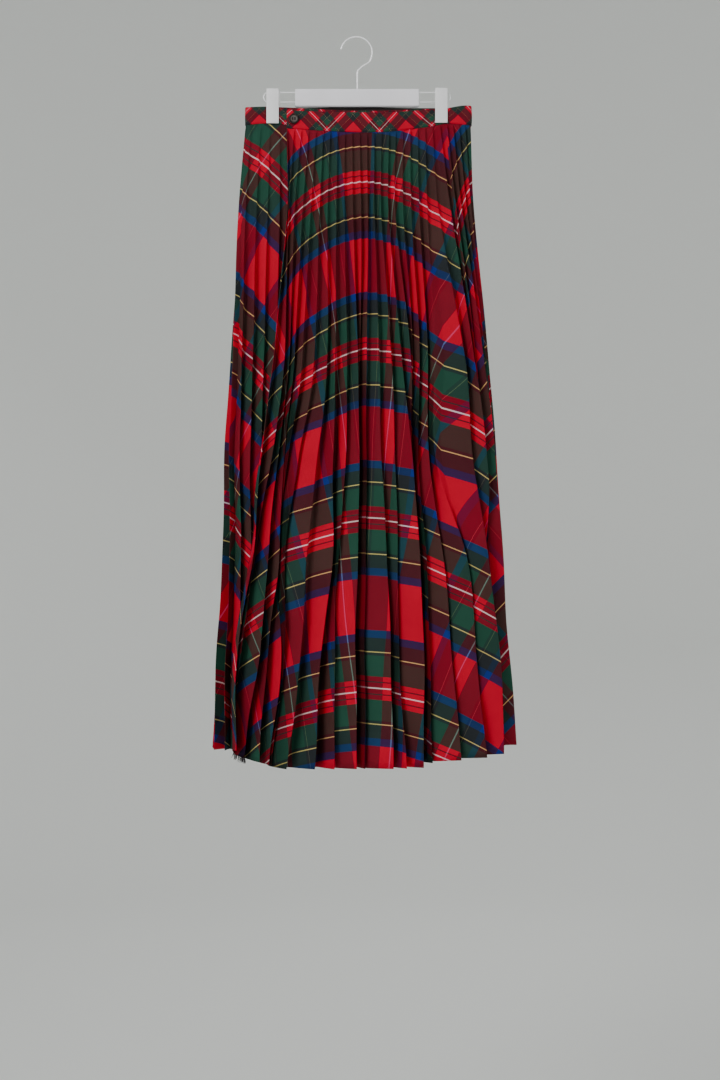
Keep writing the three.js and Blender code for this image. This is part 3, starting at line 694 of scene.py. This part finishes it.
def panel(piece_name, first, last, straight_lip):
    """The columns of one panel, with their places on the flat quarter circle."""
    q = np.median(wrap[..., 3], axis=0)
    start = 0 if first == FIRST_LIP else int(np.argmin(np.abs(q - (first - SEAM_BACK))))
    end = len(q) - 1 if last == LAST_LIP else int(np.argmin(np.abs(q - (last - SEAM_BACK))))
    columns = wrap[:, start:end + 1]
    radius = (WAIST_RADIUS + drops)[:, None]
    angle = np.radians(PLEAT_DEG * (columns[..., 3] - straight_lip))
    cut = np.stack([radius * np.sin(angle), radius * np.cos(angle)], axis=-1)
    piece = grid_piece(piece_name, columns[..., :3], cut)
    # The painted shade of the folds, which darkens the tartan's colour.
    shade = piece.data.attributes.new("shade", "FLOAT", "POINT")
    shade.data.foreach_set("value", columns[..., 4].reshape(-1))
    give_wall(piece, CLOTH_WALL)
    return piece


for piece_name, node, first, last, straight_lip, white_weft, white_warp in PANELS:
    piece = panel(piece_name, first, last, straight_lip)
    weft = (WEFT_SETT, WEFT_PERIOD, white_weft)
    warp = (WARP_SETT, WARP_PERIOD, white_warp)
    piece.data.materials.append(tartan(piece_name + "_tartan", SKIRT_SHARES, weft, warp))
    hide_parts(node)
    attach(piece, "root")

# ---- The frayed corners ----
# Loose ends of yarn, where the weave has come undone at the hem: a dark tuft at the front's free
# corner and short red ends at the under wrap's. They are the cloth's own threads.

THREAD_RADIUS = 0.22
THREAD_SIDES, THREAD_STEPS = 5, 10
THREAD_BEND = 2.2  # sideways, halfway down
THREAD_TURNS = (-0.5, -0.3, 0.0), (0.5, 0.3, 6.28)  # least and most, in radians about x, y and z
THREAD_SIZES = (0.3, 0.3, 0.35), (1.6, 1.6, 1.0)  # least and most, of its bend, width and reach
ROOT_UP = 1.5  # above the hem's edge
FRAYS = [
    # piece, CAD node, first and last pleat count along the hem, reach, threads, seed, colour
    ("front_corner_threads", "front_edge_fringe", -8.9, -7.6, 10.5, 90, 4, (0.016, 0.010, 0.014)),
    ("under_corner_threads", "under_edge_fringe", 82.3, 84, 8.5, 60, 9, (0.33, 0.012, 0.03)),
]


class Tree:
    """A Geometry Nodes tree with named inputs, whose nodes are added one call each."""

    def __init__(self, name, inputs):
        self.group = bpy.data.node_groups.new(name, "GeometryNodeTree")
        self.group.interface.new_socket("Geometry", in_out="INPUT", socket_type="NodeSocketGeometry")
        for label, kind in inputs.items():
            self.group.interface.new_socket(label, in_out="INPUT", socket_type="NodeSocket" + kind)
        self.group.interface.new_socket("Geometry", in_out="OUTPUT", socket_type="NodeSocketGeometry")
        self.inputs = self.group.nodes.new("NodeGroupInput").outputs
        self.output = self.group.nodes.new("NodeGroupOutput").inputs[0]

    def node(self, kind, settings=None, values=None, output=0):
        node = self.group.nodes.new(kind)
        for setting, value in (settings or {}).items():
            setattr(node, setting, value)
        for socket, value in (values or {}).items():
            if isinstance(value, bpy.types.NodeSocket):
                self.group.links.new(value, node.inputs[socket])
            else:
                node.inputs[socket].default_value = value
        return node.outputs[output]

    def finish(self, geometry):
        real = self.node("GeometryNodeRealizeInstances", values={0: geometry})
        done = self.node(
            "GeometryNodeSetMaterial", values={"Geometry": real, "Material": self.inputs["Material"]}
        )
        self.group.links.new(done, self.output)


def finished_mesh(piece):
    """The plain mesh that a piece's modifiers make, which are then cleared."""
    graph = bpy.context.evaluated_depsgraph_get()
    mesh = bpy.data.meshes.new_from_object(piece.evaluated_get(graph), depsgraph=graph)
    piece.modifiers.clear()
    return mesh


def made_with(tree, name, points, edges, values):
    """The plain mesh piece that a tree makes from a line of points, in mm."""
    line = bpy.data.meshes.new(name + "_line")
    line.from_pydata((np.asarray(points) * MM).tolist(), edges, [])
    carrier = linked(name + "_line", line)
    modifier = carrier.modifiers.new(name, "NODES")
    modifier.node_group = tree.group
    for item in tree.group.interface.items_tree:
        if item.in_out == "INPUT" and item.name in values:
            modifier[item.identifier] = values[item.name]
    mesh = finished_mesh(carrier)
    mesh.name = name
    bpy.data.objects.remove(carrier)
    return linked(name, mesh)


def fraying():
    """Threads hung along a line, each a bent tube that is turned, tilted and sized at random."""
    tree = Tree("fraying", {
        "Material": "Material", "Threads": "Int", "Reach": "Float", "Radius": "Float",
        "Bend": "Float", "Seed": "Int",
    })
    given = tree.inputs
    line = tree.node("GeometryNodeMeshToCurve", values={0: given["Geometry"]})
    roots = tree.node("GeometryNodeResampleCurve", values={"Curve": line, "Count": given["Threads"]})
    down = tree.node("ShaderNodeMath", {"operation": "MULTIPLY"}, {0: given["Reach"], 1: -1.0})
    half = tree.node("ShaderNodeMath", {"operation": "MULTIPLY"}, {0: down, 1: 0.5})
    middle = tree.node("ShaderNodeCombineXYZ", values={0: given["Bend"], 2: half})
    tip = tree.node("ShaderNodeCombineXYZ", values={2: down})
    path = tree.node(
        "GeometryNodeCurveQuadraticBezier",
        values={"Resolution": THREAD_STEPS, "Start": (0, 0, 0), "Middle": middle, "End": tip},
    )
    ring = tree.node(
        "GeometryNodeCurvePrimitiveCircle",
        values={"Resolution": THREAD_SIDES, "Radius": given["Radius"]},
    )
    thread = tree.node(
        "GeometryNodeCurveToMesh", values={"Curve": path, "Profile Curve": ring, "Fill Caps": True}
    )
    turn, size = (
        tree.node(
            "FunctionNodeRandomValue", {"data_type": "FLOAT_VECTOR"},
            {0: least, 1: most, "Seed": given["Seed"]},
        )
        for least, most in (THREAD_TURNS, THREAD_SIZES)
    )
    threads = tree.node(
        "GeometryNodeInstanceOnPoints",
        values={"Points": roots, "Instance": thread, "Rotation": turn, "Scale": size},
    )
    tree.finish(threads)
    return tree


def yarn(name, colour):
    """A loose thread, uneven in colour along its fibres."""
    strand = Finish(name)
    place = strand.node("TexCoord", output="Object")
    fuzz = strand.node("TexNoise", values={"Vector": place, "Scale": 900, "Detail": 2})
    shade = strand.node("HueSaturation", values={"Value": fuzz * 0.9 + 0.5, "Color": (*colour, 1)})
    bump = strand.node("Bump", values={"Strength": 0.4, "Distance": 0.1 * MM, "Height": fuzz})
    return strand.surface(Base_Color=shade, Roughness=0.9, Normal=bump, Specular_IOR_Level=0.2)


fray_tree = fraying()
hem_line = wrap[-1]
for name, node, first, last, reach, threads, seed, colour in FRAYS:
    chosen = hem_line[(hem_line[:, 3] >= first) & (hem_line[:, 3] <= last), :3]
    edges = [(i, i + 1) for i in range(len(chosen) - 1)]
    piece = made_with(fray_tree, name, chosen + (0, 0, ROOT_UP), edges, {
        "Material": yarn(name + "_yarn", colour), "Threads": threads, "Reach": reach * MM,
        "Radius": THREAD_RADIUS * MM, "Bend": THREAD_BEND * MM, "Seed": seed,
    })
    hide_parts(node)
    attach(piece, "root")

# ---- The button ----
# A four-hole button of dark horn with a rolled rim and a paler dish, sewn through the band's
# overlap with two upright pairs of stitches in black thread.

BUTTON = {"x": -94.2, "z": -123.9, "radius": 7.5, "hole": 0.8, "spread": 1.7, "proud": 0.45}
BUTTON_STEPS, HOLE_STEPS = 72, 20
BUTTON_PROFILE = [
    (0, 0), (5.8, 0), (6.7, 0.25), (7.25, 0.8), (7.5, 1.5), (7.4, 2.2), (7.05, 2.75), (6.5, 3.0),
    (5.95, 2.85), (5.5, 2.45), (5.0, 2.15), (4.2, 2.0), (2.2, 1.95), (0, 1.95),
]
DRILLED = (-2, 5)  # past the button's back and its front
DISH_FROM, DISH_TO = 0.6, 0.74  # of the radius, where the dish ends and the rim begins
RIM_COLOUR, DISH_COLOUR = (0.012, 0.007, 0.006, 1), (0.085, 0.070, 0.062, 1)
STITCH_RADIUS, STITCH_LOW, STITCH_HIGH = 0.42, 0.6, 2.1
STITCH_APART = 0.35  # half the distance between the two stitches of a pair
STITCH_STEPS, STITCH_SIDES = 13, 8
STITCH_COLOUR = (0.010, 0.009, 0.010)
CAP_DEG = [25, 50, 75]  # rings on a wire's rounded end


def facing_out(points, seat, out):
    """Points with y as the height off the band, turned to face out from it at the seat."""
    points = np.asarray(points, float)
    side = np.array([-out[1], out[0]])
    x = seat[0] + points[:, 0] * side[0] + points[:, 1] * out[0]
    y = seat[1] + points[:, 0] * side[1] + points[:, 1] * out[1]
    return np.stack([x, y, BUTTON["z"] + points[:, 2]], axis=-1)


def turned(profile, steps):
    """Points and faces of a closed shape turned about the y axis."""
    around = np.linspace(0, 2 * math.pi, steps, endpoint=False)
    rings = profile[1:-1]
    points = [(r * math.cos(a), h, r * math.sin(a)) for r, h in rings for a in around]
    points += [(0, profile[0][1], 0), (0, profile[-1][1], 0)]
    low, high = len(points) - 2, len(points) - 1
    faces = []
    for i in range(steps):
        j = (i + 1) % steps
        for k in range(len(rings) - 1):
            faces.append((k * steps + i, k * steps + j, (k + 1) * steps + j, (k + 1) * steps + i))
        faces.append((low, j, i))
        top = (len(rings) - 1) * steps
        faces.append((high, top + i, top + j))
    return points, faces


def closed_piece(name, points, faces, sharp_deg=40):
    """A closed mesh piece, in mm, its faces turned outwards and its edges sharp past an angle."""
    mesh = bpy.data.meshes.new(name)
    mesh.from_pydata((np.asarray(points, float) * MM).tolist(), [], faces)
    form = bmesh.new()
    form.from_mesh(mesh)
    bmesh.ops.remove_doubles(form, verts=form.verts, dist=1e-6)
    bmesh.ops.recalc_face_normals(form, faces=form.faces)
    form.to_mesh(mesh)
    form.free()
    mesh.polygons.foreach_set("use_smooth", [True] * len(mesh.polygons))
    mesh.set_sharp_from_angle(angle=math.radians(sharp_deg))
    return linked(name, mesh)


def tube(path, radius, sides, closed=False):
    """Points and faces of a wire along a path, with rounded ends where it isn't closed."""
    path = np.asarray(path, float)
    if closed:
        along = np.roll(path, -1, axis=0) - np.roll(path, 1, axis=0)
    else:
        along = np.gradient(path, axis=0)
    along /= np.linalg.norm(along, axis=1)[:, None]
    radii = np.full(len(path), radius)
    if not closed:
        cap = np.radians(CAP_DEG)
        start = path[0] - along[0] * radius * np.cos(cap)[:, None]
        tip = path[-1] + along[-1] * radius * np.cos(cap[::-1])[:, None]
        path = np.concatenate([start, path, tip])
        ends = radius * np.sin(cap)
        radii = np.concatenate([ends, radii, ends[::-1]])
        along = np.concatenate([along[:1].repeat(len(cap), 0), along, along[-1:].repeat(len(cap), 0)])
    side = np.cross(along, (0, 1, 0))
    side /= np.linalg.norm(side, axis=1)[:, None]
    lift = np.cross(side, along)
    turn = np.linspace(0, 2 * math.pi, sides, endpoint=False)
    rings = path[:, None] + radii[:, None, None] * (
        np.cos(turn)[None, :, None] * side[:, None] + np.sin(turn)[None, :, None] * lift[:, None]
    )
    n = len(path)
    faces = []
    for i in range(n if closed else n - 1):
        a, b = i * sides, (i + 1) % n * sides
        faces += [(a + j, b + j, b + (j + 1) % sides, a + (j + 1) % sides) for j in range(sides)]
    if not closed:
        faces += [tuple(range(sides)), tuple(range((n - 1) * sides, n * sides))[::-1]]
    return rings.reshape(-1, 3), faces


button_s = waist.front(BUTTON["x"])
band_out = np.array([np.interp(button_s, waist.s, out) for out in (waist.out_x, waist.out_y)])
band_out /= np.linalg.norm(band_out)
button_seat = np.array(waist.point(button_s, -BUTTON["proud"]))
button_points, button_faces = turned(BUTTON_PROFILE, BUTTON_STEPS)
button = closed_piece("button_disc", facing_out(button_points, button_seat, band_out), button_faces)
spread = BUTTON["spread"]
low, high = DRILLED
hole = [(0, low), (BUTTON["hole"], low), (BUTTON["hole"], high), (0, high)]
drills = []
for x in (-spread, spread):
    for z in (-spread, spread):
        drill_points, drill_faces = turned(hole, HOLE_STEPS)
        drill_points = facing_out(np.asarray(drill_points) + (x, 0, z), button_seat, band_out)
        drills.append(closed_piece("button_drill", drill_points, drill_faces))
        bored = button.modifiers.new("hole", "BOOLEAN")
        bored.operation = "DIFFERENCE"
        bored.solver = "EXACT"
        bored.object = drills[-1]
button.data = finished_mesh(button)
for drill in drills:
    bpy.data.objects.remove(drill)


def dark_horn():
    """Streaked horn, nearly black on the rim and paler in the dish."""
    horn = Finish("dark_horn")
    place = horn.node("TexCoord", output="Object")
    x, _, z = horn.split(place)
    from_x = x - float(button_seat[0]) * MM
    from_z = z - BUTTON["z"] * MM
    from_middle = (from_x * from_x + from_z * from_z).math("SQRT") / (BUTTON["radius"] * MM)
    stretched = horn.node("Mapping", values={"Vector": place, "Scale": (1, 1, 4)})
    streaks = horn.node("TexNoise", values={"Vector": stretched, "Scale": 160, "Detail": 4})
    dish = horn.node("MapRange", values={
        "Value": from_middle, "From Min": DISH_FROM, "From Max": DISH_TO, "To Min": 1, "To Max": 0,
    })
    plain = horn.blend(dish, RIM_COLOUR, DISH_COLOUR)
    colour = horn.node("HueSaturation", values={"Value": streaks * 0.9 + 0.55, "Color": plain})
    bump = horn.node("Bump", values={"Strength": 0.15, "Distance": 0.1 * MM, "Height": streaks})
    return horn.surface(
        Base_Color=colour, Roughness=streaks * 0.15 + 0.4, Normal=bump, Specular_IOR_Level=0.25
    )


button.data.materials.clear()
button.data.materials.append(dark_horn())
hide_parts("button")
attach(button, "root")


def joined(solids):
    """One list of points and one of faces, for several solids."""
    points, faces = [], []
    for more_points, more_faces in solids:
        faces += [tuple(len(points) + i for i in face) for face in more_faces]
        points += list(more_points)
    return points, faces


def stitch(x):
    """One arch of thread from the lower hole to the upper one."""
    rise = np.linspace(0, 1, STITCH_STEPS)
    height = STITCH_LOW + STITCH_HIGH * np.sin(math.pi * rise)
    arch = np.stack([np.full_like(rise, x), height, spread * (2 * rise - 1)], axis=-1)
    return tube(arch, STITCH_RADIUS, STITCH_SIDES)


stitch_places = [pair + side for pair in (-spread, spread) for side in (-STITCH_APART, STITCH_APART)]
stitch_points, stitch_faces = joined([stitch(x) for x in stitch_places])
stitch_points = facing_out(stitch_points, button_seat, band_out)
button_thread = closed_piece("button_thread", stitch_points, stitch_faces)
button_thread.data.materials.append(yarn("button_yarn", STITCH_COLOUR))
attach(button_thread, "root")

# ---- The hanger ----
# A clip hanger: a pale moulded bar, a bright wire hook screwed into its middle, and one wire loop
# through its length that carries a sprung clip at either end.

HOOK_WIRE, HOOK_BEND = 1.2, 23.7
HOOK_TURN = (166, -38)  # degrees, from the hook's tip round to its neck
HOOK_TURN_STEP, HOOK_POINTS = 17.24, 220
HOOK_CENTRE = (-1, HOOK_WIRE - HOOK_BEND)
HOOK_NECK = [(9.9, -41.8), (3.2, -47.5), (1.0, -50.2), (0.4, -53.8), (0.4, -62), (0.4, -77.9)]
BAR = {"left": -92.6, "right": 92.6, "top": -78.2, "low": -104.3, "thick": 9}
LOOP = {"wire": 0.9, "left": -140, "right": 140, "high": -82.4, "low": -97}
WIRE_SIDES, LOOP_BEND_POINTS = 20, 33
WIRE_COLOUR, WIRE_METALLIC, WIRE_ROUGHNESS = (0.97, 0.97, 0.98, 1), 0.15, 0.16


def hook_path():
    """Round the bend and down the neck, on a smooth line through the neck's places."""
    tip, neck = HOOK_TURN
    angle = np.radians(np.append(np.arange(tip, neck, -HOOK_TURN_STEP), neck))
    bend = HOOK_CENTRE + HOOK_BEND * np.stack([np.cos(angle), np.sin(angle)], axis=-1)
    corners = np.concatenate([bend, HOOK_NECK])
    way = np.append(0, np.cumsum(np.hypot(*np.diff(corners, axis=0).T)))
    at = np.linspace(0, way[-1], HOOK_POINTS)
    x, z = smooth(way, corners[:, 0], at), smooth(way, corners[:, 1], at)
    return np.stack([x, np.zeros_like(x), z], axis=-1)


def loop_path():
    """Two straight runs joined by half circles."""
    bend = (LOOP["high"] - LOOP["low"]) / 2
    middle = (LOOP["high"] + LOOP["low"]) / 2
    half = np.radians(np.linspace(-90, 90, LOOP_BEND_POINTS))
    right = np.stack([LOOP["right"] - bend + bend * np.cos(half), middle + bend * np.sin(half)], -1)
    left = np.stack([LOOP["left"] + bend - bend * np.cos(half), middle - bend * np.sin(half)], -1)
    line = np.concatenate([right, left])
    return np.stack([line[:, 0], np.zeros(len(line)), line[:, 1]], axis=-1)


def bright_wire():
    """Bright plated wire, with the faint unevenness of its drawing."""
    wire = Finish("bright_wire")
    place = wire.node("TexCoord", output="Object")
    drawn = wire.node("TexNoise", values={"Vector": place, "Scale": 420, "Detail": 3})
    bump = wire.node("Bump", values={"Strength": 0.06, "Distance": 0.1 * MM, "Height": drawn})
    return wire.surface(
        Base_Color=WIRE_COLOUR, Metallic=WIRE_METALLIC, Roughness=drawn * 0.15 + WIRE_ROUGHNESS,
        Normal=bump,
    )


def moulded(name, colour):
    """Satin moulded plastic, with the faint waves and dust of handling."""
    plastic = Finish(name)
    place = plastic.node("TexCoord", output="Object")
    wave = plastic.node("TexNoise", values={"Vector": place, "Scale": 22, "Detail": 2})
    grain = plastic.node("TexNoise", values={"Vector": place, "Scale": 1500, "Detail": 2})
    shade = plastic.node("HueSaturation", values={"Value": wave * 0.14 + 0.93, "Color": (*colour, 1)})
    bump = plastic.node("Bump", values={"Strength": 0.12, "Distance": 0.1 * MM, "Height": grain + wave})
    return plastic.surface(Base_Color=shade, Roughness=wave * 0.16 + 0.36, Normal=bump)


wire_finish = bright_wire()
for name, node, path, radius, closed in [
    ("hook_wire", "hanger_hook", hook_path(), HOOK_WIRE, False),
    ("clip_loop_wire", "hanger_wire", loop_path(), LOOP["wire"], True),
]:
    wire_piece = closed_piece(name, *tube(path, radius, WIRE_SIDES, closed))
    wire_piece.data.materials.append(wire_finish)
    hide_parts(node)
    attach(wire_piece, "root")


def slab_faces(count):
    """The faces of a slab between two outlines of count points each."""
    faces = [tuple(range(count)), tuple(range(count, 2 * count))[::-1]]
    faces += [(i, (i + 1) % count, count + (i + 1) % count, count + i) for i in range(count)]
    return faces


def softened(piece, radius):
    """Rounds a moulding's edges."""
    edge = piece.modifiers.new("softened", "BEVEL")
    edge.width = radius * MM
    edge.segments = 3
    edge.limit_method = "ANGLE"
    edge.harden_normals = True


def block(left, right, near, far, low, high):
    """Points and faces of a plain block, from its low and high x, y and z."""
    outline = [(left, low), (right, low), (right, high), (left, high)]
    return [(x, y, z) for y in (near, far) for x, z in outline], slab_faces(len(outline))


BAR_FOOT = 1.2  # the height of the bar's lower rim
BAR_STEP = 0.9  # how far that is set back
BAR_OVERLAP = 0.5  # how far the rim and the collar run into the bar
BAR_COLLAR = {"left": -4.5, "right": 5.3, "half": 3.4, "proud": 0.3}  # round the hook's neck
BAR_ROUND = 0.5
BAR_COLOUR = (0.80, 0.78, 0.82)

left, right, top, low = BAR["left"], BAR["right"], BAR["top"], BAR["low"]
half = BAR["thick"] / 2
foot_half, collar_half = half - BAR_STEP, BAR_COLLAR["half"]
foot_top = low + BAR_FOOT
bar_solids = [
    block(left, right, -half, half, foot_top, top),
    block(left + BAR_STEP, right - BAR_STEP, -foot_half, foot_half, low, foot_top + BAR_OVERLAP),
    block(
        BAR_COLLAR["left"], BAR_COLLAR["right"], -collar_half, collar_half,
        top - BAR_OVERLAP, top + BAR_COLLAR["proud"],
    ),
]
bar = closed_piece("moulded_bar", *joined(bar_solids))
softened(bar, BAR_ROUND)
bar.data.materials.append(moulded("bar_plastic", BAR_COLOUR))
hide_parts("hanger_bar")
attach(bar, "root")

CLIP = {"wide": 18.4, "high": 52, "thick": 3, "top": -77.5}
CLIP_SEATS = [("left", -126.4, 2.3), ("right", 126.2, 5.9)]  # x, and the front jaw's distance
CLIP_BACK = 5.3  # the back jaw's distance
CLIP_CROWN, CROWN_POINTS = 0.7, 9
CLIP_RIB = {"in": 2, "near": 0.15, "clear": 0.3}  # from the sides, the middle and the wires
CLIP_ROUND, CLIP_SHARP_DEG = 0.55, 25
CLIP_COLOUR = (0.80, 0.79, 0.80)


def clip_jaw(x, side, away):
    """A jaw: a plate crowned across its width, with a rib between the loop's two wires."""
    left, low = x - CLIP["wide"] / 2, CLIP["top"] - CLIP["high"]
    inner, outer = side * away, side * (away + CLIP["thick"])
    right = left + CLIP["wide"]
    steps = np.linspace(0, 1, CROWN_POINTS)
    crown = [(left + CLIP["wide"] * t, outer - side * CLIP_CROWN * (2 * t - 1) ** 2) for t in steps]
    section = [(left, inner), (right, inner)] + crown[::-1]
    plate = [(px, py, z) for z in (low, CLIP["top"]) for px, py in section], slab_faces(len(section))
    clear = LOOP["wire"] + CLIP_RIB["clear"]
    rib = block(
        left + CLIP_RIB["in"], right - CLIP_RIB["in"], *sorted((side * CLIP_RIB["near"], inner + side)),
        LOOP["low"] + clear, LOOP["high"] - clear,
    )
    return joined([plate, rib])


clip_finish = moulded("clip_plastic", CLIP_COLOUR)
for label, x, front_away in CLIP_SEATS:
    for part, side, away in (("front", -1, front_away), ("back", 1, CLIP_BACK)):
        jaw = closed_piece(f"clip_{label}_{part}", *clip_jaw(x, side, away), CLIP_SHARP_DEG)
        softened(jaw, CLIP_ROUND)
        jaw.data.materials.append(clip_finish)
        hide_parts(f"clip_{label}_{part}_jaw")
        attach(jaw, "root")

# ---- The studio ----
# A seamless pale bowl that is both floor and wall, a large soft light above the left shoulder, a
# weaker one at the right, and one behind for what is seen from there.

VIEW = (4.5, -753.75)  # x and z that the camera looks straight at
VIEW_DISTANCE = 2600
VIEW_HEIGHT = 1620
SENSOR = 36
# The bowl and the lights are in metres.
FLOOR = -1.9
BOWL_RADIUS, BOWL_BEND, BOWL_TOP = 4.2, 1.2, 2.6
BOWL_MIDDLE = [0.001, 1.5]  # radii of two rings on its flat floor
BOWL_SIDES, BOWL_BEND_DEG = 96, 10
PAPER_COLOUR = (0.84, 0.85, 0.83, 1)
LIGHTS = [
    # place, size, watts
    ("key", (-1.9, -2.6, 1.1), 1.8, 84),
    ("fill", (2.4, -2.2, 0.2), 2.2, 22),
    ("back", (0.8, 3.0, 0.9), 2.2, 30),
]
LIT_PLACE = (0, 0, -0.6)
AIR_COLOUR, AIR_STRENGTH = (0.80, 0.84, 0.84, 1), 0.32

camera_data = bpy.data.cameras.new("camera")
camera_data.sensor_width = SENSOR
camera_data.lens = SENSOR * VIEW_DISTANCE / VIEW_HEIGHT
camera = linked("camera", camera_data)
camera.location = (VIEW[0] * MM, -VIEW_DISTANCE * MM, VIEW[1] * MM)
camera.rotation_euler = (math.pi / 2, 0, 0)
bpy.context.scene.camera = camera


def bowl():
    """The stage: a flat floor that turns up into a round wall."""
    bend = [math.radians(a) for a in range(0, 91, BOWL_BEND_DEG)]
    profile = [(radius, FLOOR) for radius in BOWL_MIDDLE]
    inner = BOWL_RADIUS - BOWL_BEND
    profile += [(inner + BOWL_BEND * math.sin(a), FLOOR + BOWL_BEND * (1 - math.cos(a))) for a in bend]
    profile += [(BOWL_RADIUS, BOWL_TOP)]
    turn = np.linspace(0, 2 * math.pi, BOWL_SIDES, endpoint=False)
    points = [(r * math.cos(a), r * math.sin(a), z) for a in turn for r, z in profile]
    n, count = len(profile), len(turn)
    faces = [
        (i * n + j, i * n + j + 1, (i + 1) % count * n + j + 1, (i + 1) % count * n + j)
        for i in range(count)
        for j in range(n - 1)
    ]
    mesh = bpy.data.meshes.new("studio_floor")
    mesh.from_pydata(points, [], faces)
    mesh.polygons.foreach_set("use_smooth", [True] * len(faces))
    return linked("studio_floor", mesh)


floor = bowl()
paper = Finish("studio_paper")
floor.data.materials.append(paper.surface(Base_Color=PAPER_COLOUR, Roughness=0.9))

for name, place, size, power in LIGHTS:
    data = bpy.data.lights.new(name, "AREA")
    data.shape = "DISK"
    data.size = size
    data.energy = power
    light = linked(name, data)
    light.location = place
    way = np.array(LIT_PLACE) - np.array(place)
    level = math.hypot(way[0], way[1])
    light.rotation_euler = (math.atan2(level, -way[2]), 0, math.atan2(way[1], way[0]) - math.pi / 2)

world = bpy.data.worlds.new("studio_air")
bpy.context.scene.world = world
world.use_nodes = True
air = world.node_tree.nodes["Background"]
air.inputs["Color"].default_value = AIR_COLOUR
air.inputs["Strength"].default_value = AIR_STRENGTH
